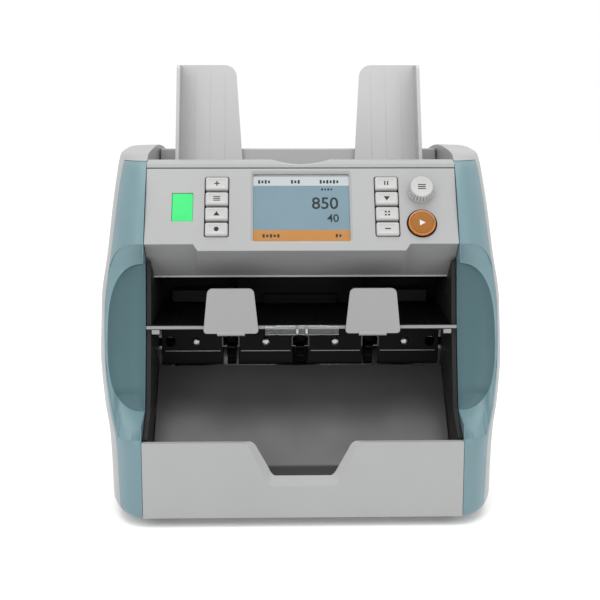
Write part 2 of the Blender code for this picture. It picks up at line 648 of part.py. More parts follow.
def transport():
    shaft("pickup_shaft", PICKUP, 3, (-100, 100), [(-30, 12, 9.4), (30, 12, 9.4)])
    shaft("transport_drum", DRUM, 4, (-113, 102), [(0, 180, 30)], "roller", 20)
    wheels = [(-48.5, 6, 16), (0, 6, 16), (48.5, 6, 16)]
    shaft("stacker_shaft", STACKER, 3, (-113, 102), wheels, "roller", 8)
    motor = rod("drive_motor", 19, (-98, -40), *MOTOR, "dark", 28)
    join(motor, rod("motor_boss", 9, (-102.4, -97), *MOTOR, sides=20))
    pulley = rod("motor_pulley", 10, (BELT_X - 3, BELT_X + 3), *MOTOR, "steel", 24)
    join(pulley, rod("motor_pin", 2.5, (-112.5, -102.8), *MOTOR, sides=12))
    drum, motor_spot = (*DRUM, 20), (*MOTOR, 10)
    belt = plate("drive_belt", tangent_loop(drum, motor_spot, 1.9), 5, BELT_X, "x", "rubber")
    cut(belt, plate("belt_inside", tangent_loop(drum, motor_spot, 0.4), 9, BELT_X, "x"))


def electronics():
    box("power_supply", (-20, 90), (120, 212), (14, 50), "steel")
    box("main_board", (-92, 92), (112, 232), (66, 67.6), "board")


def rear():
    panel = box("rear_panel", (-PANEL_X, PANEL_X), (DEPTH - 3, DEPTH - 0.5), (9, 60), "body")
    cut(panel, box("inlet_slot", (40, 68), (240, 255), (20, 41)),
        box("switch_slot", (76, 90), (240, 255), (20, 41)))
    inlet = box("mains_inlet", (40.3, 67.7), (228, DEPTH - 0.2), (20.3, 40.7), "dark")
    cut(inlet, box("inlet_well", (43.5, 64.5), (234, 255), (23.5, 37.5)))
    for number, (x, z) in enumerate(((47.5, 29), (54, 32.5), (60.5, 29)), 1):
        join(inlet, box(f"inlet_pin_{number}", (x - 1, x + 1), (232, 246), (z - 2, z + 2)))
    rocker_outline = [(-8, -9.6), (-1.5, -9.6), (1.2, 0), (-0.4, 9.6), (-8, 9.6)]
    rocker = plate("power_switch", rocker_outline, 12.4, 0, "x", "dark")
    rocker.location = place(83, DEPTH - 1.5, 30.5)
    path = [(250, 66), (250, 190), (241, 212), (214, 229.0), (163.5, 233.2)]
    cover = plate("rear_cover", strip(path, WALL), 2 * PANEL_X, 0, "x", "body")
    y, z = COVER_HINGE
    cover.data.transform(Matrix.Translation(Vector((-y * MM, -z * MM, 0))))
    cover.location = place(0, y, z)


def build():
    clear_scene()
    base_and_feet()
    front_panel()
    stacker_tray()
    stacker_backplate()
    reject_pocket()
    for word, side in (("left", -1), ("right", 1)):
        pocket_liner(side, word)
        side_frame(side, word)
        side_cover(side, word)
        corner_trim(side, word)
    console_housing()
    controls()
    hopper_lip()
    hopper()
    transport()
    electronics()
    rear()


build()
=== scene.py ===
"""The looks of a desktop banknote counting machine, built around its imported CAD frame.

Lengths are millimetres in the machine's design frame until they reach Blender: x from the middle,
y back from the front panel, z up from the table. The CAD frame has its origin under the middle.
"""

import math

import bmesh
import bpy
from mathutils import Matrix, Vector


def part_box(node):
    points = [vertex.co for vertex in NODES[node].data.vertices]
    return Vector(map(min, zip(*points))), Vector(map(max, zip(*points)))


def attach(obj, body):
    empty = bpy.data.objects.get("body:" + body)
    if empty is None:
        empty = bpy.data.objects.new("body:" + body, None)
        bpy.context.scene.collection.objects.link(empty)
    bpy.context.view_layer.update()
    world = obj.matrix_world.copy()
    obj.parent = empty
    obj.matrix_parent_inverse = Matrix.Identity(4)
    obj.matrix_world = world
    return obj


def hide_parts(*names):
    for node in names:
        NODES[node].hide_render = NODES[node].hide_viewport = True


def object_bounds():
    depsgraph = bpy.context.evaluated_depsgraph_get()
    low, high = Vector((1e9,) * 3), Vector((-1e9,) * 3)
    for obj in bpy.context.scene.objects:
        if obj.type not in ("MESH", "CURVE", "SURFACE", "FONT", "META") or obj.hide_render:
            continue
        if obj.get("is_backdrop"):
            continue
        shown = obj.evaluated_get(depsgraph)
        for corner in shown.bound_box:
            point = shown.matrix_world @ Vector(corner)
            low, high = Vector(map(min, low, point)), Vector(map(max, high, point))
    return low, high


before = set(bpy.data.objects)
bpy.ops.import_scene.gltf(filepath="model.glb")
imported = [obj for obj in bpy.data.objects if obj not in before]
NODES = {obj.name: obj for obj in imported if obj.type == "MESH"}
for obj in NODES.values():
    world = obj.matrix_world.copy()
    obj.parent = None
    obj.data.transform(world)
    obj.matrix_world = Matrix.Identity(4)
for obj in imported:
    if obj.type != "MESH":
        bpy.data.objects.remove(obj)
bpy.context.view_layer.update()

MM = 0.001
GAP = 0.3
DEPTH = (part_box("side_cover_right")[1].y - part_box("front_panel")[0].y) / MM
SEAM_X = 102.3
PANEL_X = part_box("front_panel")[1].x / MM
POCKET_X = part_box("stacker_tray")[1].x / MM
PANEL_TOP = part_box("front_panel")[1].z / MM
WALL = 2.5

# Side columns: height, then the distance from the middle or from the front
OUTER_X = [(6, 123), (8, 125), (12, 126.2), (30, 126.6), (50, 127.4), (75, 132), (105, 134.9), (135, 134.9),
           (170, 131), (205, 128.2), (222, 126.8), (231.3, 126), (233.1, 125.3), (235, 123.3),
           (236.1, 118.4), (236.5, 108.4)]
FRONT_Y = [(6, 2.5), (8, 0.8), (12, 0), (50, 0), (62, 3.5), (116, 19), (177, 38.5), (224, 66),
           (228, 71), (232.5, 79), (234.7, 98), (235.6, 114), (236.5, 126)]
REAR_Y = [(6, 247), (12, 250), (190, 250), (214, 240), (228, 222), (233, 192), (235.5, 168), (236.5, 152)]
SPLIT_X = [(6, 115), (8, 117), (12, 117.8), (50, 119.3), (58, 120.5), (63, 122.4), (79, 126), (97, 128.3),
           (128, 129.6), (143, 129), (160, 127), (175, 125), (184, 124), (205, 122.2), (229, 119.4)]
SEAM_Y = [(6, 0), (55.5, 0), (56.6, 5), (69, 27), (122, 42), (162.5, 48), (177, 38.5), (224, 66),
          (236.5, 85)]
COARSE_LEVELS = [6, 8, 12, 30, 48, 56, 66, 80, 96, 112, 128, 144, 160, 177, 192, 208, 222, 228, 231.3,
                 233.1, 235, 236.1, 236.5]
ROOF_START = 224.0      # above this the wall's thickness is taken off the height too
CORNER_DEPTH = 50.0     # how far back the rounded front corner runs
CORNER_STEPS = 20
TRIM_TOP = 228.5

# Grip bowl in each corner trim
EAR_X, EAR_Z, EAR_RISE, EAR_FOOT = 27.0, 128.0, 49.0, 56.6
SCOOP_X, SCOOP_Z, SCOOP_RISE = 24.5, 116.0, 47.0
SCOOP_POWER, SCOOP_DISH = 2.6, 5.0

# Control face; t runs up the slope from its bottom edge, h out of the face
FACE_Y, FACE_Z = 38.5, 177.0
FACE_TOP_Y, FACE_TOP_Z = 66.0, 224.0
FACE_ANGLE = math.atan2(FACE_TOP_Z - FACE_Z, FACE_TOP_Y - FACE_Y)
KEY_X, KEY_W, KEY_H, KEY_PITCH, KEY_FIRST = (-55.4, 56.0), 14.8, 9.2, 10.9, 10.2
KEY_TOP, KEY_ROOT = 1.6, -3.2
PRINT = 0.06            # thickness of printed marks
LENS_X, LENS_T, LENS_W, LENS_H = -77.8, 26.4, 13.8, 20.2
WINDOW_W, WINDOW_H, WINDOW_T = 63.2, 48.2, 26.8
SCREEN_H = -2.6         # what the screen shows lies this far behind the face
KNOB_X, KNOB_T, KNOB_R = 78.6, 37.4, 8.7
START_X, START_T, START_R = 78.4, 14.2, 8.9

# Pockets and hopper; pairs are (y, z)
STOP_HINGE, STOP_X = (36.6, 118.4), 46.3
LINER_X = 100.3
PLATE_Y, SCREW_Z = 84.0, 103.0
WHEEL_X = (-48.5, 0, 48.5)
SCREW_X = (-72.6, -24.2, 24.2, 72.6)
NOTCH_TOP, NOTCH_HALF, NOTCH_ROUND = 107.5, 5.3, 2.0
STACKER = (107.0, 98.0)
GUIDE_LEAN = math.atan2(26, 68)
GUIDE_X, GUIDE_RISE, GUIDE_HALF = 66.0, 82.0, 1.2
FLANGE_X = 87.5
RACK_Z, RACK_SPREAD = 219.0, 9.6


# ------------------------ materials

def shader_of(name):
    made = bpy.data.materials.new(name)
    made.use_nodes = True
    tree = made.node_tree
    return made, tree, tree.nodes["Principled BSDF"]


def adjust(node, **values):
    """Sets a node's inputs; an underscore stands for a space in an input's name."""
    for name, value in values.items():
        node.inputs[name.replace("_", " ")].default_value = value


def noise(tree, scale, detail=3.0, stretch=(1, 1, 1)):
    place_node = tree.nodes.new("ShaderNodeTexCoord")
    mapping = tree.nodes.new("ShaderNodeMapping")
    adjust(mapping, Scale=stretch)
    texture = tree.nodes.new("ShaderNodeTexNoise")
    adjust(texture, Scale=scale, Detail=detail)
    tree.links.new(place_node.outputs["Object"], mapping.inputs["Vector"])
    tree.links.new(mapping.outputs["Vector"], texture.inputs["Vector"])
    return texture.outputs["Fac"]


def ramp(tree, source, low, high, start=0.3, end=0.7):
    """Maps a value from start..end to low..high."""
    node = tree.nodes.new("ShaderNodeMapRange")
    adjust(node, From_Min=start, From_Max=end, To_Min=low, To_Max=high)
    tree.links.new(source, node.inputs["Value"])
    return node.outputs["Result"]


def mixed(tree, low, high, factor, target):
    """Feeds a mix of two colours into an input."""
    mix = tree.nodes.new("ShaderNodeMix")
    mix.data_type = "RGBA"
    adjust(mix, A=(*low, 1), B=(*high, 1))
    tree.links.new(factor, mix.inputs["Factor"])
    tree.links.new(mix.outputs["Result"], target)


def two_tone(tree, shader, colour, spread, factor):
    """Base colour that drifts a little to both sides."""
    low, high = [c * (1 - spread) for c in colour], [min(1, c * (1 + spread)) for c in colour]
    mixed(tree, low, high, factor, shader.inputs["Base Color"])


def bumped(tree, shader, source, strength, distance):
    node = tree.nodes.new("ShaderNodeBump")
    adjust(node, Strength=strength, Distance=distance * MM)
    tree.links.new(source, node.inputs["Height"])
    tree.links.new(node.outputs["Normal"], shader.inputs["Normal"])


def moulded(name, colour, roughness, grain=2600, bump=0.25, spread=0.025, coat=0.0, metallic=0.0, shine=0.5):
    """Moulded or painted surface: fine grain, slow colour drift, uneven gloss from handling."""
    made, tree, shader = shader_of(name)
    two_tone(tree, shader, colour, spread, ramp(tree, noise(tree, 18, 4), 0, 1))
    gloss = ramp(tree, noise(tree, 45, 5), roughness - 0.05, roughness + 0.06)
    tree.links.new(gloss, shader.inputs["Roughness"])
    bumped(tree, shader, noise(tree, grain, 2), bump, 0.05)
    adjust(shader, Metallic=metallic, Specular_IOR_Level=shine, Coat_Weight=coat, Coat_Roughness=0.18)
    return made


def shaded(made, depth):
    """Surfaces that look down sit in the machine's own shade."""
    tree = made.node_tree
    target = tree.nodes["Principled BSDF"].inputs["Base Color"]
    colour = target.links[0].from_socket
    geometry = tree.nodes.new("ShaderNodeNewGeometry")
    parts = tree.nodes.new("ShaderNodeSeparateXYZ")
    tree.links.new(geometry.outputs["Normal"], parts.inputs["Vector"])
    mix = tree.nodes.new("ShaderNodeMix")
    mix.data_type = "RGBA"
    mix.blend_type = "MULTIPLY"
    adjust(mix, Factor=1.0)
    tree.links.new(colour, mix.inputs["A"])
    tree.links.new(ramp(tree, parts.outputs["Z"], depth, 1.0, -0.6, -0.15), mix.inputs["B"])
    tree.links.new(mix.outputs["Result"], target)
    return made


def brushed(name, colour, roughness):
    """Metal with fine streaks along x."""
    made, tree, shader = shader_of(name)
    streaks = noise(tree, 14, 6, (4, 400, 400))
    two_tone(tree, shader, colour, 0.08, streaks)
    tree.links.new(ramp(tree, streaks, roughness - 0.06, roughness + 0.1), shader.inputs["Roughness"])
    bumped(tree, shader, streaks, 0.12, 0.02)
    adjust(shader, Metallic=1.0)
    return made


def glowing(name, colour, strength, roughness=0.4, spread=0.06, scale=40):
    """A lit surface: a diffuser with a faint unevenness."""
    made, tree, shader = shader_of(name)
    factor = ramp(tree, noise(tree, scale, 2), 0, 1)
    mixed(tree, [c * (1 - spread) for c in colour], colour, factor, shader.inputs["Emission Color"])
    adjust(shader, Base_Color=(*[c * 0.15 for c in colour], 1), Emission_Strength=strength,
           Roughness=roughness, Specular_IOR_Level=0.25)
    return made


def clear(name, colour):
    """See-through plastic, lightly rubbed."""
    made, tree, shader = shader_of(name)
    two_tone(tree, shader, colour, 0.02, noise(tree, 60, 2))
    tree.links.new(ramp(tree, noise(tree, 300, 3), 0.04, 0.09), shader.inputs["Roughness"])
    adjust(shader, Transmission_Weight=1.0, IOR=1.47)
    return made


def pale_floor(name):
    """Studio floor: white, lit a little from below like a light table."""
    made, tree, shader = shader_of(name)
    two_tone(tree, shader, (0.9, 0.9, 0.9), 0.004, noise(tree, 6, 2))
    adjust(shader, Roughness=0.6, Emission_Color=(1, 1, 1, 1), Emission_Strength=0.14)
    return made


def window_film(name):
    """Thin protective pane: mostly see-through, glossy on top."""
    made, tree, shader = shader_of(name)
    two_tone(tree, shader, (0.5, 0.55, 0.58), 0.05, noise(tree, 50, 2))
    tree.links.new(ramp(tree, noise(tree, 220, 3), 0.06, 0.14), shader.inputs["Roughness"])
    adjust(shader, Alpha=0.03, Specular_IOR_Level=0.25)
    return made


def amber_plastic(name):
    """Cast amber plastic that light enters."""
    made, tree, shader = shader_of(name)
    two_tone(tree, shader, (0.38, 0.14, 0.016), 0.15, ramp(tree, noise(tree, 160, 2), 0, 1))
    adjust(shader, Roughness=0.22, Coat_Weight=0.6, Subsurface_Weight=0.5, Subsurface_Scale=1.0,
           Subsurface_Radius=(0.004, 0.0016, 0.0005))
    bumped(tree, shader, noise(tree, 900, 2), 0.08, 0.04)
    return made


MATERIALS = {
    "body": shaded(moulded("body_grey", (0.296, 0.299, 0.298), 0.42, coat=0.05, shine=0.35), 0.74),
    "trim": moulded("trim_blue", (0.118, 0.198, 0.221), 0.42, coat=0.1, shine=0.4),
    # Scoop: the trim's blue, darkened as painted shade for the bowl's concave faces; its coarser bump is the
    # surface grain.
    "scoop": moulded("trim_scoop_painted_shade", (0.053, 0.107, 0.119), 0.5, bump=0.5, grain=1800, shine=0.3),
    "dark": moulded("dark_plastic", (0.005, 0.005, 0.0055), 0.38, spread=0.15, shine=0.06),
    "tray": moulded("tray_grey", (0.068, 0.068, 0.069), 0.36, spread=0.08, coat=0.15, metallic=0.3,
                    shine=0.3),
    "liner": moulded("liner_grey", (0.017, 0.017, 0.017), 0.45, spread=0.08, shine=0.12),
    "rim": moulded("rim_grey", (0.06, 0.06, 0.06), 0.35, spread=0.08),
    "key": moulded("key_grey", (0.365, 0.367, 0.362), 0.38, coat=0.05),
    "guide": moulded("guide_grey", (0.385, 0.388, 0.386), 0.4, coat=0.05, shine=0.35),
    "stop": moulded("stop_grey", (0.252, 0.254, 0.252), 0.36, coat=0.1),
    "rubber": moulded("rubber", (0.012, 0.012, 0.012), 0.8, spread=0.2, bump=0.6, shine=0.2),
    "roller": moulded("roller_rubber", (0.010, 0.010, 0.011), 0.65, spread=0.15, bump=0.5, shine=0.15),
    "print": moulded("key_print", (0.02, 0.02, 0.022), 0.5, spread=0.1, shine=0.2),
    "slot": moulded("slot_black", (0.004, 0.004, 0.004), 0.7, spread=0.2, shine=0.1),
    "steel": brushed("steel", (0.52, 0.53, 0.54), 0.32),
    "bar": brushed("bar_metal", (0.27, 0.27, 0.268), 0.45),
    "lens": glowing("lens_green", (0.07, 0.93, 0.25), 0.74, 0.35, 0.1, 90),
    "lcd": glowing("lcd_field", (0.20, 0.325, 0.39), 0.72, spread=0.12, scale=25),
    "lcd_head": glowing("lcd_header", (0.62, 0.67, 0.69), 0.72),
    "lcd_foot": glowing("lcd_footer", (0.56, 0.22, 0.015), 0.78),
    "lcd_ink": moulded("lcd_ink", (0.004, 0.005, 0.006), 0.6, spread=0.2, shine=0.05),
    "lcd_light": glowing("lcd_light", (0.8, 0.82, 0.8), 0.8, 0.3),
    "clear": clear("clear_plastic", (0.93, 0.95, 0.96)),
    "pane": window_film("window_film"),
    "amber": amber_plastic("amber_button"),
    "brown": moulded("amber_brown", (0.27, 0.098, 0.010), 0.4, spread=0.3, coat=0.05, shine=0.25),
    "board": moulded("board_green", (0.012, 0.09, 0.045), 0.35, spread=0.25, coat=0.4),
    "floor": pale_floor("floor_white"),
}


# ------------------------ shape helpers

def place(x, y, z):
    """From the part's millimetres, y counted from the front, to metres about the origin."""
    return Vector((x * MM, (y - DEPTH / 2) * MM, z * MM))


def on_face(x, t, h=0.0):
    y = FACE_Y + t * math.cos(FACE_ANGLE) - h * math.sin(FACE_ANGLE)
    z = FACE_Z + t * math.sin(FACE_ANGLE) + h * math.cos(FACE_ANGLE)
    return x, y, z


def face_matrix(x, t, h=0.0):
    """Local x across, local y up the slope, local z out of the control face."""
    return Matrix.Translation(place(*on_face(x, t, h))) @ Matrix.Rotation(FACE_ANGLE, 4, "X")


def through(points, at):
    """A smooth curve through rising points that never overshoots them."""
    if at <= points[0][0]:
        return points[0][1]
    if at >= points[-1][0]:
        return points[-1][1]
    slopes = [(b[1] - a[1]) / (b[0] - a[0]) for a, b in zip(points, points[1:])]
    tangents = [slopes[0]]
    for left, right in zip(slopes, slopes[1:]):
        tangents.append(0.0 if left * right <= 0 else 2 * left * right / (left + right))
    tangents.append(slopes[-1])
    i = max(k for k in range(len(points) - 1) if points[k][0] <= at)
    (x0, y0), (x1, y1) = points[i], points[i + 1]
    span = x1 - x0
    s = (at - x0) / span
    return ((1 + 2 * s) * (1 - s) ** 2 * y0 + s * (1 - s) ** 2 * span * tangents[i]
            + s * s * (3 - 2 * s) * y1 + s * s * (s - 1) * span * tangents[i + 1])


def straight(points, at):
    """The value between rising points, joined by straight lines."""
    for (x0, y0), (x1, y1) in zip(points, points[1:]):
        if at <= x1:
            return y0 + (y1 - y0) * max(0.0, at - x0) / (x1 - x0)
    return points[-1][1]


def added(name, data):
    made = bpy.data.objects.new(name, data)
    bpy.context.scene.collection.objects.link(made)
    return made


def evaluated(target):
    """The mesh that a curve, or an object with its modifiers, comes to."""
    bpy.context.view_layer.update()
    return bpy.data.meshes.new_from_object(target.evaluated_get(bpy.context.evaluated_depsgraph_get()))


def thing(bm, name, materials=("body",), matrix=None):
    """An object at the origin from a bmesh in metres, its place in its mesh."""
    bmesh.ops.recalc_face_normals(bm, faces=bm.faces)
    mesh = bpy.data.meshes.new(name)
    bm.to_mesh(mesh)
    bm.free()
    if matrix:
        mesh.transform(matrix)
    for word in materials:
        mesh.materials.append(MATERIALS[word])
    return added(name, mesh)


def block(name, size, matrix, material="body"):
    bm = bmesh.new()
    bmesh.ops.create_cube(bm, size=1.0)
    bmesh.ops.scale(bm, vec=Vector(size) * MM, verts=bm.verts)
    return thing(bm, name, (material,), matrix)


def box(name, xs, ys, zs, material="body"):
    size = (xs[1] - xs[0], ys[1] - ys[0], zs[1] - zs[0])
    return block(name, size, Matrix.Translation(place(sum(xs) / 2, sum(ys) / 2, sum(zs) / 2)), material)


def cylinder(name, radius, height, matrix, material="body", sides=64):
    bm = bmesh.new()
    bmesh.ops.create_cone(bm, cap_ends=True, segments=sides, radius1=radius * MM, radius2=radius * MM,
                          depth=height * MM)
    return thing(bm, name, (material,), matrix)


def across(x, y, z):
    """Places a cylinder along x."""
    return Matrix.Translation(place(x, y, z)) @ Matrix.Rotation(math.pi / 2, 4, "Y")


def skin(bm, rows, tags=None, turn=-1):
    """Sides and two caps through loops of equal point count; tags pick a material for each column,
    and turn=1 keeps the first cap's points in their order."""
    loops = [[bm.verts.new(point) for point in row] for row in rows]
    count = len(loops[0])
    for low, high in zip(loops, loops[1:]):
        for i in range(count):
            j = (i + 1) % count
            face = bm.faces.new((low[i], low[j], high[j], high[i]))
            face.material_index = tags[i] if tags else 0
    bm.faces.new(loops[0][::turn])
    bm.faces.new(loops[-1])


def layered(name, layers, matrix, material="body"):
    """A solid through pairs of an outline in the local xy plane and its height along local z."""
    bm = bmesh.new()
    skin(bm, [[(u * MM, v * MM, h * MM) for u, v in outline] for outline, h in layers])
    return thing(bm, name, (material,), matrix)


def prism(name, outline, low, high, matrix, material="body"):
    return layered(name, [(outline, low), (outline, high)], matrix, material)


def along_x(centre):
    """Local x is y, local y is z, local z is x."""
    turn = Matrix(((0, 0, 1, 0), (1, 0, 0, 0), (0, 1, 0, 0), (0, 0, 0, 1)))
    return Matrix.Translation(place(centre, 0, 0)) @ turn


def along_y(x, y, z):
    """Local x stays, local y is z, local z points to the front."""
    return Matrix.Translation(place(x, y, z)) @ Matrix.Rotation(math.pi / 2, 4, "X")


def loft(name, sections, materials=("body",), tags=None):
    bm = bmesh.new()
    skin(bm, [[place(*point) for point in section] for section in sections], tags, 1)
    bmesh.ops.remove_doubles(bm, verts=bm.verts, dist=1e-7)
    return thing(bm, name, materials)


def turned(name, profile, matrix, material="body", steps=72, groove=None):
    """A turned solid: profile pairs are (radius, height), top to bottom; groove(row, angle) cuts in."""
    bm = bmesh.new()
    rings = []
    for row, (radius, height) in enumerate(profile):
        ring = []
        for i in range(steps if radius else 1):
            a = math.tau * i / steps
            r = (radius - (groove(row, a) if groove else 0.0)) * MM
            ring.append(bm.verts.new((r * math.cos(a), r * math.sin(a), height * MM)))
        rings.append(ring)
    closing = [(rings[-1], rings[0])] if profile[0][0] > 0 else []
    for upper, lower in list(zip(rings, rings[1:])) + closing:
        for i in range(steps):
            j = (i + 1) % steps
            corners = [upper[i % len(upper)], upper[j % len(upper)],
                       lower[j % len(lower)], lower[i % len(lower)]]
            bm.faces.new([c for k, c in enumerate(corners) if c not in corners[:k]])
    return thing(bm, name, (material,), matrix)


def combine(target, others, operation):
    for other in others:
        modifier = target.modifiers.new("combine", "BOOLEAN")
        modifier.operation = operation
        modifier.object = other
        modifier.solver = "EXACT"
    mesh = evaluated(target)
    target.modifiers.clear()
    target.data = mesh
    for other in others:
        bpy.data.objects.remove(other)
    return target


def cut(target, *others):
    return combine(target, others, "DIFFERENCE")


def join(target, *others):
    return combine(target, others, "UNION")


def soften(target, width=0.5, segments=3, angle=32):
    """Rounds the edges and shades smooth between them."""
    weld = target.modifiers.new("weld", "WELD")
    weld.merge_threshold = 0.000002
    bevel = target.modifiers.new("edges", "BEVEL")
    bevel.width = width * MM
    bevel.segments = segments
    bevel.limit_method = "ANGLE"
    bevel.angle_limit = math.radians(angle)
    bevel.harden_normals = True
    bevel.miter_outer = "MITER_ARC"
    target.data.shade_smooth()
    return target


def smooth(target, angle=32):
    """Shades smooth over all but the sharper edges."""
    target.data.shade_smooth()
    target.data.set_sharp_from_angle(angle=math.radians(angle))
    return target


def ring_outline(width, height, radius, steps=6, centre=(0, 0)):
    """A rectangle with round corners."""
    points = []
    for cx, cy, start in ((1, 1, 0), (-1, 1, 90), (-1, -1, 180), (1, -1, 270)):
        for i in range(steps + 1):
            a = math.radians(start + 90 * i / steps)
            points.append((centre[0] + cx * (width / 2 - radius) + radius * math.cos(a),
                           centre[1] + cy * (height / 2 - radius) + radius * math.sin(a)))
    return points


def arc(cx, cy, radius, start, end, steps):
    angles = [math.radians(start + (end - start) * i / steps) for i in range(steps + 1)]
    return [(cx + radius * math.cos(a), cy + radius * math.sin(a)) for a in angles]


def strip(path, thickness):
    """The outline of a bent sheet: the path, and the same path moved to its left."""
    back = []
    for i, (y, z) in enumerate(path):
        before = Vector(path[max(i, 1)]) - Vector(path[max(i, 1) - 1])
        after = Vector(path[i + 1]) - Vector(path[i]) if i < len(path) - 1 else before
        normal_a = Vector((-before.y, before.x)).normalized()
        normal_b = Vector((-after.y, after.x)).normalized()
        mitre = (normal_a + normal_b) / (1 + normal_a.dot(normal_b))
        back.append((y + mitre.x * thickness, z + mitre.y * thickness))
    return list(path) + back[::-1]


def stands_for(piece, body, slot, *nodes):
    """The piece rides on a body and, where nodes are named, is seen in their place."""
    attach(piece, body)
    if nodes:
        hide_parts(*nodes)
    return piece


# ------------------------ side columns

def corner_y(x, z):
    """Depth of the rounded front corner's skin at this place."""
    front = through(FRONT_Y, z)
    share = (x - SEAM_X) / (through(OUTER_X, z) - SEAM_X)
    return front + corner_depth(z) * (1 - math.sqrt(max(0.0, 1 - share * share)))


def corner_depth(z):
    """How far back the rounded front corner runs; it shrinks with the roof."""
    return min(CORNER_DEPTH, 0.6 * (through(REAR_Y, z) - through(FRONT_Y, z)))


def split_y(z):
    """Depth at which the trim meets the side cover."""
    return corner_y(through(SPLIT_X, z), z)


def round_corner(z, front, inner_x, outer, last):
    """Points round the front corner, from the seam outwards as far as the last angle."""
    turns = [last * i / CORNER_STEPS for i in range(CORNER_STEPS + 1)]
    return [(inner_x + (outer - inner_x) * math.sin(a), front + corner_depth(z) * (1 - math.cos(a)))
            for a in turns]


def column_section(z, side, inset=0.0, inner_x=SEAM_X):
    """Plan of a side column at one height, its walls moved in by the inset."""
    front = through(FRONT_Y, z) + inset
    outer = through(OUTER_X, z) - inset
    rear = through(REAR_Y, z) - inset
    points = round_corner(z, front, inner_x, outer, math.pi / 2)
    radius = min(14 - inset, outer - inner_x - 0.5, 0.3 * (rear - front))
    points += [(outer - radius + radius * math.cos(a), rear - radius + radius * math.sin(a))
               for a in (math.pi / 16 * i for i in range(9))]
    points.append((inner_x, rear))
    height = z - inset if z > ROOF_START else z
    return [(side * x, y, height) for x, y in points]


def levels_between(low, high, step):
    count = max(2, round((high - low) / step))
    return [low + (high - low) * i / count for i in range(count + 1)]


SIDE_LEVELS = (levels_between(6, 12, 0.75)[:-1] + levels_between(12, 222, 3)[:-1]
               + levels_between(222, 231.3, 1)[:-1] + levels_between(231.3, 236.5, 0.4))


def side_cover(side, word):
    name = f"outer_cover_{word}"
    cover = loft(name, [column_section(z, side) for z in SIDE_LEVELS])
    inner = [column_section(z, side, WALL, SEAM_X + WALL) for z in COARSE_LEVELS]
    inner.insert(0, [(*point[:2], -4.0) for point in inner[0]])
    hollow = loft(f"{name}_hollow", inner)
    window = box(f"{name}_window", sorted((side * 90, side * (SEAM_X + WALL + 1))),
                 (-10, DEPTH - WALL), (-5, 196))
    levels = levels_between(6, TRIM_TOP - 2, 4) + [TRIM_TOP + GAP / 2]
    line = [(split_y(z) + GAP / 2, z) for z in levels]
    wedge = prism(f"{name}_wedge", [(-30, -6), (line[0][0], -6)] + line + [(-30, TRIM_TOP + GAP / 2)],
                  -30, 30, along_x(side * 120))
    cut(cover, hollow, window, wedge)
    soften(cover, 0.5, 2)
    stands_for(cover, "chassis", "body_grey", f"side_cover_{word}")


def trim_section(z, side):
    """Plan of the coloured corner trim at one height: skin in front, flat behind."""
    edge = through(SPLIT_X, z)
    outer = through(OUTER_X, z)
    front = through(FRONT_Y, z)
    last = math.asin((edge - SEAM_X) / (outer - SEAM_X))
    points = round_corner(z, front, SEAM_X, outer, last)
    back = split_y(z) - GAP / 2
    points[-1] = (points[-1][0], back)
    deep = max(back, straight(SEAM_Y, z) + 7)
    lip = 3.8 if z < 200 else 5.6
    points += [(edge - lip, back), (edge - lip, back + 3), (edge - 7, deep), (SEAM_X, deep)]
    return [(side * x, y, z) for x, y in points]


def deepest_y(x, z):
    """How far back the bowl may cut at this point and still leave a wall in the trim."""
    return split_y(z) - 1.5 + 2.2 * max(0.0, through(SPLIT_X, z) - 4.0 - x)


def ear_point(t):
    """The bowl's outer edge on the trim's skin, t from 0 at its foot to 1 at its top."""
    if t < 0.2:
        return SEAM_X + max(0.4, 16 * t / 0.2), EAR_FOOT
    if t < 0.6:
        drop = 1 - (t - 0.2) / 0.4
        return SEAM_X + EAR_X - 11.0 * drop ** 2.2, EAR_Z - (EAR_Z - EAR_FOOT) * drop
    a = math.pi / 2 * (t - 0.6) / 0.4
    x = SEAM_X + max(0.4, EAR_X * max(0.0, math.cos(a)) ** (2 / 3))
    return x, EAR_Z + EAR_RISE * math.sin(a) ** (2 / 3)


def rim_point(t):
    """The scoop's crisp rim: a superellipse in a leaning plane, kept in front of the trim's back."""
    a = math.pi * (t - 0.5)
    x = SEAM_X + max(0.3, SCOOP_X * max(0.0, math.cos(a)) ** (2 / SCOOP_POWER))
    z = SCOOP_Z + SCOOP_RISE * math.copysign(abs(math.sin(a)) ** (2 / SCOOP_POWER), math.sin(a))
    return x, min(27 + 21 * (z - 69) / 94, deepest_y(x, z)), z


def bowl_cutter(name, side):
    """The grip bowl: a rim that slopes in from the trim's skin, then a dished scoop open to the pocket."""
    steps = 90
    rows = []
    for i in range(steps + 1):
        ear_x, ear_z = ear_point(i / steps)
        rim_x, rim_y, rim_z = rim_point(i / steps)
        skin_y = corner_y(ear_x, ear_z)
        ear_y = min(skin_y + 0.6, max(split_y(ear_z) - 1.0, skin_y + 0.05))
        row = [(90, -40, ear_z), (ear_x + 0.02, -40, ear_z), (ear_x + 0.02, ear_y, ear_z)]
        for share in (0.33, 0.67, 1.0):
            x, z = ear_x + (rim_x - ear_x) * share, ear_z + (rim_z - ear_z) * share
            y = ear_y + (rim_y - ear_y) * share + share * (1 - share)
            row.append((x, min(y, deepest_y(x, z)), z))
        seam = straight(SEAM_Y, rim_z)
        for share in (0.95, 0.88, 0.78, 0.65, 0.5, 0.35, 0.2, 0.1, 0.0):
            x = SEAM_X + (rim_x - SEAM_X) * share
            dish = SCOOP_DISH * 4 * share * (1 - share) * (rim_x - SEAM_X) / SCOOP_X
            row.append((x, seam + (rim_y - seam) * share + dish, rim_z))
        row.append((90, seam, rim_z))
        rows.append([(side * x, y, z) for x, y, z in row])
    # The bowl's scoop faces get the darker scoop material: painted shade inside the bowl.
    rim_columns, shaded_scoop_columns = 5, 11
    return loft(name, rows, ("trim", "scoop"), [0] * rim_columns + [1] * shaded_scoop_columns)


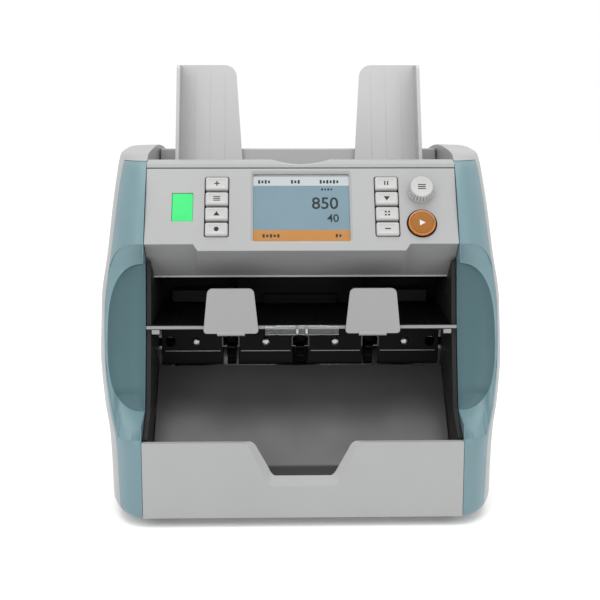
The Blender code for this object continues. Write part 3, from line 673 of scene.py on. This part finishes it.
def corner_trim(side, word):
    name = f"corner_panel_{word}"
    levels = levels_between(6, 12, 0.75)[:-1] + levels_between(12, TRIM_TOP - GAP / 2, 2)
    # Second slot: the scoop's darker blue, painted shade that the bowl's cut leaves inside the bowl.
    trim = loft(name, [trim_section(z, side) for z in levels], ("trim", "scoop"))
    cut(trim, bowl_cutter(f"{name}_bowl", side))
    soften(trim, 0.45, 2)
    stands_for(trim, "chassis", "trim_blue", f"corner_trim_{word}")


# ------------------------ front and pockets

def bent(start, corner, end, steps=8):
    """A quadratic curve that leaves and arrives along the lines to the corner."""
    shares = [i / steps for i in range(steps + 1)]
    return [tuple((1 - s) ** 2 * a + 2 * s * (1 - s) * b + s * s * c for a, b, c in zip(start, corner, end))
            for s in shares]


def notch_section(y, half_floor, floor, lower, upper):
    """Finger notch: flat floor, steep straight flanks, then an easy curve out to the panel's top edge."""
    (x0, z0), (x1, z1) = lower, upper
    knee = x1 + (x1 - x0) / (z1 - z0) * (PANEL_TOP - z1)
    right = bent((half_floor, floor), (half_floor + 1.4, floor), lower)
    right += bent(upper, (knee, PANEL_TOP), (knee + 3.4, PANEL_TOP + 0.1))
    right.append((knee + 3.4, PANEL_TOP + 8))
    left = [(-x, z) for x, z in reversed(right)]
    return [(x, y, z) for x, z in right + left]


def front_panel():
    panel = box("lower_front_panel", (-PANEL_X, PANEL_X), (0, 4), (6, PANEL_TOP))
    cut(panel, loft("notch", [notch_section(-0.6, 20.8, 26.2, (23.8, 29), (34.0, 51)),
                              notch_section(4.6, 17.2, 33.6, (20.5, 36.5), (29.0, 52.0))]))
    soften(panel, 0.7, 3, 20)
    stands_for(panel, "chassis", "body_grey", "front_panel")


def stacker_pocket():
    path = [(4.5, 28), (24, 28), (26.6, 28.6), (29, 30.4), (84, 84.6)]
    tray = prism("note_tray", strip(path, 3), -POCKET_X, POCKET_X, along_x(0), "tray")
    rib = strip([(29, 33.2), (80, 83.6)], 0.9)
    join(tray, *[prism(f"tray_rib_{x}", rib, -1.2, 1.2, along_x(x), "tray") for x in (-66, -33, 33, 66)])
    soften(tray, 0.4, 2)
    stands_for(tray, "chassis", "tray_grey", "stacker_tray")
    for word, side in (("left", -1), ("right", 1)):
        outline = [(6, 27), (6, 56.6), (28, 69.6), (42.8, 122), (48.6, 158), (48.8, 165), (70, 149),
                   (126, 149), (126, 118), (91, 118), (91, 27)]
        liner = prism(f"pocket_side_{word}", outline, -1.5, 1.5, along_x(side * LINER_X), "liner")
        for y, z, r in ((58, 134, 1.6), (70, 141, 1.6), (66, 101, 1.3), (50, 78, 1.3)):
            cut(liner, cylinder("liner_hole", r, 6, across(side * LINER_X, y, z), sides=24))
        soften(liner, 0.3, 2)
        stands_for(liner, "chassis", "tray_grey", f"pocket_liner_{word}")


def cross_head(name, at):
    """Pan-head screw with a cross recess; local z points out of the head."""
    head = turned(name, [(0, 1.6), (1.1, 1.5), (2.1, 1.15), (2.75, 0.55), (2.9, 0.1), (2.9, 0), (0, 0)],
                  at, "steel", 32)
    top = at @ Matrix.Translation((0, 0, 1.5 * MM))
    cut(head, block(f"{name}_a", (3.0, 0.6, 1.6), top), block(f"{name}_b", (0.6, 3.0, 1.6), top))
    return smooth(head, 40)


def notch_arch(x, radius):
    """The round-cornered top of a wheel notch, as two corner arcs."""
    across_by, height = NOTCH_HALF - NOTCH_ROUND, NOTCH_TOP - NOTCH_ROUND
    return arc(x + across_by, height, radius, 0, 90, 6) + arc(x - across_by, height, radius, 90, 180, 6)


def stacker_backplate():
    wall = box("pocket_back", (-96.5, 96.5), (PLATE_Y, 87), (96, 117.5), "dark")
    join(wall, box("pocket_back_step", (-96.5, 96.5), (86.5, 89.5), (86.2, 99), "dark"))
    tools, notch_foot = [], 84
    for x in WHEEL_X:
        outline = [(x - NOTCH_HALF, notch_foot), (x + NOTCH_HALF, notch_foot)] + notch_arch(x, NOTCH_ROUND)
        tools.append(prism("wheel_notch", outline, -6, 6, along_y(0, 87, 0)))
    for x in (-90.4, 90.4):
        tools.append(cylinder("end_hole", 3.4, 12, along_y(x, 86, SCREW_Z), sides=40))
    cut(wall, *tools)
    soften(wall, 0.45, 2)
    stands_for(wall, "chassis", "dark_plastic", "stacker_backplate")
    for number, x in enumerate(SCREW_X, 1):
        screw = cross_head(f"plate_screw_{number}", along_y(x, PLATE_Y - GAP, SCREW_Z))
        stands_for(screw, "chassis", "steel", f"backplate_screw_{number}")
    for number, (low, high) in enumerate(((-94, -55.5), (-41.5, -7), (7, 41.5), (55.5, 94)), 1):
        lip = box(f"plate_edge_{number}", (low, high), (83.3, 83.9), (96.2, 96.9), "bar")
        stands_for(soften(lip, 0.2, 2), "chassis", "bar_metal")
    rim, foot_z = 0.8, 99.5
    for number, x in enumerate(WHEEL_X, 1):
        outline = ([(x + NOTCH_HALF + rim, foot_z)] + notch_arch(x, NOTCH_ROUND + rim)
                   + [(x - NOTCH_HALF - rim, foot_z), (x - NOTCH_HALF, foot_z)]
                   + notch_arch(x, NOTCH_ROUND)[::-1] + [(x + NOTCH_HALF, foot_z)])
        frame_piece = prism(f"notch_frame_{number}", outline, 0.05, 0.6, along_y(0, PLATE_Y - 0.05, 0),
                            "rim")
        stands_for(soften(frame_piece, 0.12, 2), "chassis", "dark_plastic")


def stacker_wheels():
    shaft = cylinder("stacker_wheels", 3, 215, across(-5.5, *STACKER), "roller", 40)
    wheels = []
    blades = 14
    for x in WHEEL_X:
        outline = []
        for k in range(blades):
            start = 360 / blades * k
            for radius, turn in ((15.8, 0), (15.9, 4), (12, 10), (8.5, 19), (8, 23), (11, 19)):
                a = math.radians(start + turn)
                outline.append((STACKER[0] + radius * math.cos(a), STACKER[1] + radius * math.sin(a)))
        wheels.append(prism("wheel", outline, -3, 3, along_x(x), "roller"))
    wheels.append(cylinder("shaft_pulley", 8, 6, across(-109, *STACKER), "roller", 48))
    join(shaft, *wheels)
    smooth(shaft, 35)
    stands_for(shaft, "stacker_shaft", "roller", "stacker_shaft")


def reject_pocket():
    path = [(42.6, 119.4), (126, 124.4), (126, 147)]
    floor = prism("reject_shelf", strip(path, 2.2), -POCKET_X, POCKET_X, along_x(0), "dark")
    rib = strip([(44, 121.3), (124, 126.1)], 1.0)
    join(floor, *[prism(f"shelf_rib_{x}", rib, -1, 1, along_x(x), "dark") for x in range(-84, 85, 24)])
    soften(floor, 0.4, 2)
    stands_for(floor, "chassis", "dark_plastic", "reject_floor")
    bar = box("stop_bar", (-101.8, 101.8), (39.4, 41.9), (120.8, 123.0), "bar")
    stands_for(soften(bar, 0.35, 3), "chassis", "bar_metal", "reject_bar")
    prism_body = box("light_guide", (-24, 24), (35.4, 39.1), (117.4, 122.6), "clear")
    join(prism_body, box("guide_step", (-17, 17), (35.6, 39), (122.3, 123.4), "clear"))
    cut(prism_body, *[box(f"guide_groove_{x}", (x - 0.4, x + 0.4), (34, 36.2), (118.2, 121.6), "clear")
                      for x in (-20, -14, -5, 5, 14, 20)])
    stands_for(soften(prism_body, 0.3, 2), "chassis", "clear", "sensor_prism")
    for number, x in enumerate((-3, 3), 1):
        pin = box(f"guide_pin_{number}", (x - 0.7, x + 0.7), (35.9, 38.7), (118.3, 121.4), "steel")
        stands_for(soften(pin, 0.2, 2), "chassis", "steel")
    shroud = box("feed_shroud", (-44, 44), (104, 123), (126.6, 149), "dark")
    join(shroud, box("feed_shroud_step", (-26, 26), (100.5, 105), (126.6, 133.5), "dark"))
    stands_for(soften(shroud, 0.6, 3), "chassis", "dark_plastic")
    edge = box("shroud_edge", (-19, 19), (103.4, 104.1), (147.2, 147.6), "liner")
    stands_for(soften(edge, 0.1, 2), "chassis", "dark_plastic")
    for number, (low, high) in enumerate(((-91, -62), (62, 91)), 1):
        step = box(f"side_step_{number}", (low, high), (110, 123), (126.4, 135), "liner")
        stands_for(soften(step, 0.5, 3), "chassis", "dark_plastic")
    for word, side in (("left", -1), ("right", 1)):
        foot = box(f"bar_foot_{word}", sorted((side * 93, side * 98.2)), (38.8, 42.4), (117.6, 120.6),
                   "bar")
        stands_for(soften(foot, 0.3, 2), "chassis", "bar_metal")
        reject_stop(word, side)


def reject_stop(word, side):
    x = side * STOP_X
    half, top, r = 15.3, 148.2, 3.5
    outline = (arc(x - 15.6, 120.8, 2.2, 180, 270, 6) + arc(x + 15.6, 120.8, 2.2, 270, 360, 6)
               + arc(x + half - r, top - r, r, 4, 90, 10) + arc(x - half + r, top - r, r, 90, 176, 10))
    stop = prism(f"note_stop_{word}", outline, -1, 1, along_y(0, STOP_HINGE[0], 0), "stop")
    join(stop, cylinder(f"stop_barrel_{word}", 1.5, 18, across(x, *STOP_HINGE), "stop", 24))
    soften(stop, 0.5, 3)
    stands_for(stop, f"reject_stop_{word}", "stop_grey", f"reject_stop_{word}")


# ------------------------ console

def key_slot(grow):
    """Outline and middle of a column of four keys, its opening grown on each side."""
    outline = ring_outline(KEY_W + 2 * grow, 3 * KEY_PITCH + KEY_H + 2 * grow, 1.3)
    return outline, KEY_FIRST + 1.5 * KEY_PITCH


def window_opening():
    """Cutter for the display: a sloping rim, then straight through the housing."""
    layers = [(ring_outline(WINDOW_W + 2 * grow, WINDOW_H + 2 * grow, 0.8 + grow * 0.5), h)
              for grow, h in ((1.8, 0.1), (0.0, -1.4), (0.0, -6.0))]
    return layered("window_opening", layers, face_matrix(0, WINDOW_T))


def console():
    sections = []
    for x, drop in ((-PANEL_X, 0), (-70.4, 0), (-67.3, 4.7), (67.3, 4.7), (70.4, 0), (PANEL_X, 0)):
        chin = on_face(0, -drop)[1:]
        path = [(FACE_TOP_Y, FACE_TOP_Z), chin, (69, 151.6), (124, 153.5)]
        sections.append([(x, y, z) for y, z in strip(path, WALL)])
    housing = loft("control_console", sections)
    outline, middle = key_slot(0.6)
    tools = [prism("key_slot", outline, -6, 3, face_matrix(x, middle)) for x in KEY_X]
    tools.append(prism("lens_slot", ring_outline(LENS_W, LENS_H, 0.6), -6, 3, face_matrix(LENS_X, LENS_T)))
    tools.append(cylinder("knob_hole", 3.4, 9, face_matrix(KNOB_X, KNOB_T, -1)))
    tools.append(cylinder("start_hole", START_R + GAP, 9, face_matrix(START_X, START_T, -1)))
    cut(housing, *tools, window_opening())
    soften(housing, 0.55, 3)
    stands_for(housing, "chassis", "body_grey", "console_housing")
    # The bead is body-grey plastic; its lighter key grey is a painted highlight along the edge that catches
    # the light.
    bead = box("console_bead_highlight", (-PANEL_X + 1, PANEL_X - 1), (67.6, 69.0), (150.9, 152.2), "key")
    stands_for(soften(bead, 0.3, 2), "chassis", "body_grey")


def key_mesh(name, x, t):
    """A key cap with a raised, slightly dished top inside a sloping rim."""
    levels = [(0, KEY_ROOT), (0, 0.6), (0.25, 1.1), (0.8, KEY_TOP), (1.5, KEY_TOP), (1.9, KEY_TOP - 0.22),
              (3.0, KEY_TOP - 0.3)]
    layers = [(ring_outline(KEY_W - 2 * inset, KEY_H - 2 * inset, max(0.35, 1.1 - inset * 0.35), 5), h)
              for inset, h in levels]
    return layered(name, layers, face_matrix(x, t), "key")


def icon_shapes(kind):
    """Plain generic marks, as outlines in millimetres."""
    bars = {"plus": [(2.6, 0.55, 0, 0), (0.55, 2.6, 0, 0)],
            "stack": [(3.4, 0.45, 0, 0.95), (3.4, 0.45, 0, 0), (3.4, 0.45, 0, -0.95)],
            "minus": [(2.8, 0.6, 0, 0)],
            "pair": [(0.6, 2.2, -0.7, 0), (0.6, 2.2, 0.7, 0)],
            "grid": [(0.9, 0.9, x, y) for y in (0.8, -0.8) for x in (-0.8, 0.8)]}
    if kind in bars:
        return [ring_outline(w, h, min(w, h) * 0.2, 2, (cx, cy)) for w, h, cx, cy in bars[kind]]
    if kind == "up":
        return [[(-1.5, -1.0), (1.5, -1.0), (0, 1.3)]]
    if kind == "down":
        return [[(-1.5, 1.0), (0, -1.3), (1.5, 1.0)]]
    if kind == "play":
        return [[(-1.3, -1.7), (1.9, 0), (-1.3, 1.7)]]
    return [arc(0, 0, 1.2, 0, 345, 23)]


def icon(name, kind, matrix, body, material="print", scale=1.0):
    """A mark on a control, standing out by the thickness of its print."""
    bm = bmesh.new()
    for outline in icon_shapes(kind):
        skin(bm, [[(u * MM * scale, v * MM * scale, h) for u, v in outline] for h in (0.0, PRINT * MM)])
    mark = thing(bm, name, (material,), matrix)
    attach(mark, body)


def keys():
    marks = {"left": ["ring", "up", "stack", "plus"], "right": ["minus", "grid", "down", "pair"]}
    for word, x in zip(("left", "right"), KEY_X):
        for number in range(4):
            t = KEY_FIRST + number * KEY_PITCH
            body = f"key_{word}_{number + 1}"
            cap = smooth(key_mesh(f"cap_{word}_{number + 1}", x, t), 50)
            stands_for(cap, body, "key_grey", body)
            icon(f"mark_{word}_{number + 1}", marks[word][number], face_matrix(x, t, KEY_TOP - 0.31), body,
                 scale=1.35)
        outline, middle = key_slot(2)
        well = prism(f"key_well_{word}", outline, -6.2, -5.6, face_matrix(x, middle), "slot")
        stands_for(well, "chassis", "dark_plastic")


def digits(text, size, x, t):
    """A number on the screen, its right edge at x."""
    curve = bpy.data.curves.new(f"digits_{text}", "FONT")
    curve.body = text
    curve.size = size * MM
    curve.extrude = 0.03 * MM
    curve.offset = 0.014 * size * MM
    curve.align_x = "RIGHT"
    source = added(f"digits_{text}", curve)
    mesh = evaluated(source)
    bpy.data.objects.remove(source)
    mesh.transform(face_matrix(x, t, SCREEN_H))
    mesh.materials.clear()
    mesh.materials.append(MATERIALS["lcd_ink"])
    stands_for(added(f"digits_{text}", mesh), "chassis", "screen")


def display():
    """The module, its lit fields, dashes in place of words, and the pane in front."""
    width, low, foot, head, top_edge = 63.2, 2.4, 11.0, 43.0, 49.5
    module = block("display_unit", (70, 52, 4), face_matrix(0, WINDOW_T, -5.0), "slot")
    join(module, block("display_board", (186, 44, 1.6), face_matrix(0, WINDOW_T + 1, -7.5), "slot"))
    stands_for(soften(module, 0.3, 2), "chassis", "screen", "display_module")
    panes = (("lcd_area", "lcd", foot, head), ("lcd_top", "lcd_head", head, top_edge),
             ("lcd_bottom", "lcd_foot", low, foot), ("lcd_border", "body", top_edge, 51.2))
    for name, material, bottom, top in panes:
        pane = block(name, (width, top - bottom, 0.3), face_matrix(0, (bottom + top) / 2, SCREEN_H - 0.2),
                     material)
        stands_for(pane, "chassis", "screen")
    digits("850", 11.8, 24.4, 26.2)
    digits("40", 7.8, 24.6, 16.8)
    words = [(-24.5, 8.6, 45.8, 2.6), (-3.8, 6.6, 45.8, 2.6), (18.5, 13.2, 45.8, 2.6),
             (-20.0, 12.0, 6.9, 2.4), (24.0, 4.6, 6.9, 2.4), (16.9, 8.2, 40.2, 1.5)]
    for number, (x, run, t, tall) in enumerate(words, 1):
        count = max(2, round(run / 2.3))
        pitch = run / count
        for k in range(count):
            size = (pitch * 0.62, tall * (0.75 if k % 2 else 1.0), PRINT)
            dash = block(f"screen_mark_{number}_{k + 1}", size,
                         face_matrix(x - run / 2 + pitch * (k + 0.5), t, SCREEN_H), "lcd_ink")
            stands_for(dash, "chassis", "screen")
    glass = prism("display_glass", ring_outline(WINDOW_W - 0.8, WINDOW_H - 0.8, 0.7), -2.3, -1.5,
                  face_matrix(0, WINDOW_T), "pane")
    stands_for(smooth(glass), "chassis", "clear", "display_window")


def lens():
    pane = prism("status_light", ring_outline(LENS_W - 0.6, LENS_H - 0.6, 0.5), -3.5, -0.3,
                 face_matrix(LENS_X, LENS_T), "lens")
    stands_for(soften(pane, 0.25, 2), "chassis", "lens_green", "status_lens")


def knob():
    at = face_matrix(KNOB_X, KNOB_T)
    profile = [(0, 7.3), (5.6, 7.35), (6.4, 7.5), (6.9, 7.55), (7.3, 7.3), (7.55, 6.7), (7.9, 5.0),
               (8.25, 3.0), (8.5, 1.4), (KNOB_R, 0.9), (KNOB_R, 0.62), (3.2, 0.62), (3.2, 5.8), (0, 5.8)]
    flutes, depths = 24, {4: 0.15, 5: 0.5, 6: 0.85, 7: 0.95, 8: 0.95, 9: 0.9}
    cap = turned("menu_dial", profile, at, "key", 240,
                 lambda row, a: depths.get(row, 0.0) * (0.5 - 0.5 * math.cos(flutes * a)) ** 3)
    stands_for(smooth(cap, 40), "menu_knob", "key_grey", "menu_knob")
    icon("dial_mark", "stack", face_matrix(KNOB_X, KNOB_T, 7.31), "menu_knob", scale=1.5)
    spindle = turned("dial_spindle", [(0, 5.3), (2.9, 5.3), (2.9, -2.7), (0, -2.7)], at, "steel", 40)
    stands_for(smooth(spindle), "menu_spindle", "steel", "menu_spindle")


def start():
    at = face_matrix(START_X, START_T)
    bezel = turned("start_ring", [(START_R + 0.3, 0.3), (START_R + 0.35, 0.6), (START_R + 0.7, 0.65),
                                  (START_R + 0.95, 0.5), (START_R + 1.0, GAP), (START_R + 1.0, 0.05),
                                  (START_R + 0.3, 0.05)], at, "slot")
    stands_for(smooth(bezel, 40), "chassis", "dark_plastic", "start_bezel")
    profile = [(0, 1.75), (5.0, 1.7), (7.2, 1.45), (7.6, 1.5), (7.9, 1.95), (8.25, 2.3), (8.55, 2.25),
               (8.8, 1.9), (START_R, 1.3), (START_R, -4.0), (0, -4.0)]
    button = turned("start_dome", profile, at, "amber")
    stands_for(smooth(button, 40), "start_button", "amber", "start_button")
    profile = [(0, 1.83), (5.0, 1.8), (7.1, 1.7), (7.45, 1.62), (7.5, 1.2), (0, 1.2)]
    disc = turned("start_disc", profile, at, "brown")
    stands_for(smooth(disc, 40), "start_button", "amber")
    icon("start_mark", "play", face_matrix(START_X, START_T, 1.8), "start_button", "lcd_light", 1.2)


# ------------------------ hopper

def floor_z(y):
    """Height of the hopper's sloping floor."""
    return 223.0 - (y - 82.0) * 0.37


def hopper_lip():
    outline = [(66.4, 224.6), (66.9, 226.2), (67.6, 227.4), (69.5, 228.3), (75, 229.4), (77.5, 229.1),
               (79.5, 228.0), (81.5, 225.4), (76, 221.6), (69.0, 222.8)]
    lip = prism("hopper_edge", outline, -PANEL_X, PANEL_X, along_x(0))
    cut(lip, cylinder("finger_dip", 60, 28, along_y(0, 70, 286), sides=160))
    soften(lip, 0.4, 3)
    stands_for(lip, "chassis", "body_grey", "hopper_lip")


def hopper():
    path = [(82, floor_z(82) - 2), (142, floor_z(142) - 2)]
    half = SEAM_X - 0.8
    floor = prism("hopper_slope", strip(path, 2), -half, half, along_x(0), "tray")
    cut(floor, *[box("roller_slot", (x - 9, x + 9), (104, 128), (195, 225)) for x in (-30, 30)])
    stands_for(soften(floor, 0.3, 2), "chassis", "tray_grey", "hopper_floor")
    lean = math.tan(GUIDE_LEAN)
    path = [(150 - 18 * lean + 2.2, 208), (150 + 7 * lean + 2.2, 233), (161, 233)]
    back = prism("hopper_wall", strip(path[::-1], 2.4), -half, half, along_x(0))
    cut(back, box("guide_slot", (-92, 92), (140, 158), (214, 222)))
    stands_for(soften(back, 0.5, 3), "chassis", "body_grey", "hopper_back")
    for word, side in (("left", -1), ("right", 1)):
        guide(word, side)


def guide(word, side):
    """A leaning note guide, its flange, and the lug, post and rack bar behind the hopper wall."""
    foot_z = 212
    height = GUIDE_RISE / math.cos(GUIDE_LEAN)
    at = (Matrix.Translation(place(side * GUIDE_X, 144.6, foot_z))
          @ Matrix.Rotation(math.pi / 2 - GUIDE_LEAN, 4, "X"))
    top, low, outer, r = 45.6 - GUIDE_X, 40.2 - GUIDE_X, 88.7 - GUIDE_X, 9
    quarter = [math.pi / 20 * i for i in range(11)]
    outline = [(low, 0), (outer, 0), (outer, height)]
    outline += [(top + r - r * math.sin(a), height - r + r * math.cos(a)) for a in quarter]
    panel = prism(f"note_guide_{word}", [(side * u, v) for u, v in outline], -GUIDE_HALF, GUIDE_HALF, at,
                  "guide")
    run = GUIDE_RISE * math.tan(GUIDE_LEAN)
    front, back, tip_z, r = 123.6, 145, 294, 5
    sweep = [0.1 + 0.15 * i for i in range(9)]
    outline = [(front, foot_z), (back, foot_z), (back + run, tip_z)]
    outline += [(front + run + r - r * math.sin(a), tip_z - r + r * math.cos(a)) for a in sweep]
    flange = prism(f"guide_flange_{word}", outline, -GUIDE_HALF, GUIDE_HALF, along_x(side * FLANGE_X),
                   "guide")
    bar_z = RACK_Z + side * RACK_SPREAD
    xs = sorted((side * 60, side * 72))
    lug = box("lug", xs, (146.5, 163.3), (216, 220), "guide")
    post = box("post", xs, (161, 166.5), sorted((RACK_Z - side * 1.5, bar_z)), "guide")
    bar = box("bar", sorted((side * 72, -side * 26)), (162.8, 168.2), (bar_z - 1.2, bar_z + 1.2), "guide")
    join(panel, flange, lug, post, bar)
    ribs = []
    for u in (-12, -1, 10):
        rib = ring_outline(0.5, height - 14, 0.2, 3, (side * u, height / 2))
        ribs.append(prism("rib", rib, 0.9, 1.35, at, "guide"))
    join(panel, *ribs)
    soften(panel, 0.45, 3)
    stands_for(panel, f"guide_{word}", "body_grey", f"guide_{word}")


# ------------------------ rear

def rear():
    bend, reach, rise = [math.radians(10 * i) for i in range(1, 8)], 36, 38.5
    path = [(250, 66), (250, 190)]
    path += [(250 - reach + reach * math.cos(a), 190 + rise * math.sin(a)) for a in bend]
    path.append((163.5, 233.2))
    cover = prism("rear_lid", strip(path, WALL), -PANEL_X, PANEL_X, along_x(0))
    vents = [*range(-72, -20, 7), *range(22, 74, 7)]
    cut(cover, *[box("vent", (x, x + 3), (240, 256), (84, 112)) for x in vents])
    soften(cover, 0.6, 3)
    stands_for(cover, "rear_cover", "body_grey", "rear_cover")
    panel = box("connector_panel", (-PANEL_X, PANEL_X), (DEPTH - 3, DEPTH - 0.5), (9, 60))
    cut(panel, box("inlet_slot", (40, 68), (240, 255), (20, 41)),
        box("switch_slot", (76, 90), (240, 255), (20, 41)))
    soften(panel, 0.5, 3)
    stands_for(panel, "chassis", "body_grey", "rear_panel")


def carried_over():
    """CAD nodes whose shape is right: rounded edges and their own material."""
    kinds = {"steel": ["base_pan", "motor_pulley", "power_supply", "side_frame_left", "side_frame_right"],
             "dark": ["menu_encoder", "guide_pinion", "drive_motor", "mains_inlet", "power_switch"],
             "rubber": ["drive_belt", "foot_1", "foot_2", "foot_3", "foot_4"],
             "roller": ["transport_drum", "pickup_shaft"], "board": ["main_board"]}
    for word, names in kinds.items():
        for name in names:
            node = NODES[name]
            node.data.materials.clear()
            node.data.materials.append(MATERIALS[word])
            soften(node, 0.3, 2)


# ------------------------ stage

def stage():
    bm = bmesh.new()
    bmesh.ops.create_grid(bm, x_segments=2, y_segments=2, size=6.0)
    floor = thing(bm, "floor", ("floor",))
    floor.location.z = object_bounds()[0][2] - 0.0002
    floor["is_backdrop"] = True


def area_light(name, location, target, size, power):
    light = bpy.data.lights.new(name, "AREA")
    light.shape = "RECTANGLE"
    light.size, light.size_y = size
    light.energy = power
    made = added(name, light)
    made.location = location
    made.rotation_euler = (Vector(target) - Vector(location)).to_track_quat("-Z", "Y").to_euler()


def lights():
    world = bpy.data.worlds.new("studio")
    bpy.context.scene.world = world
    world.use_nodes = True
    adjust(world.node_tree.nodes["Background"], Color=(1, 1, 1, 1), Strength=1.0)
    area_light("top", (0.0, -0.15, 1.3), (0, 0, 0.1), (1.4, 1.0), 10.5)
    area_light("front_left", (-0.9, -1.2, 0.9), (0, -0.05, 0.15), (0.7, 0.9), 5.5)
    area_light("front_right", (1.0, -1.1, 0.8), (0, -0.05, 0.15), (0.7, 0.9), 3.0)
    bpy.context.scene.view_settings.view_transform = "Standard"


def camera():
    data = bpy.data.cameras.new("camera")
    data.lens = 67.5
    data.sensor_width = 36
    data.clip_start = 0.01
    data.clip_end = 30
    made = added("camera", data)
    target = place(-0.9, 55.2, 137.3)
    elevation, azimuth, distance = math.radians(10), math.radians(1.2), 0.75
    back = Vector((-math.sin(azimuth) * math.cos(elevation), -math.cos(azimuth) * math.cos(elevation),
                   math.sin(elevation)))
    made.location = target + back * distance
    made.rotation_euler = (-back).to_track_quat("-Z", "Y").to_euler()
    bpy.context.scene.camera = made


camera()
lights()
stage()
for label, direction in (("left", -1), ("right", 1)):
    side_cover(direction, label)
    corner_trim(direction, label)
front_panel()
stacker_pocket()
stacker_backplate()
stacker_wheels()
reject_pocket()
console()
keys()
display()
lens()
knob()
start()
hopper_lip()
hopper()
rear()
carried_over()
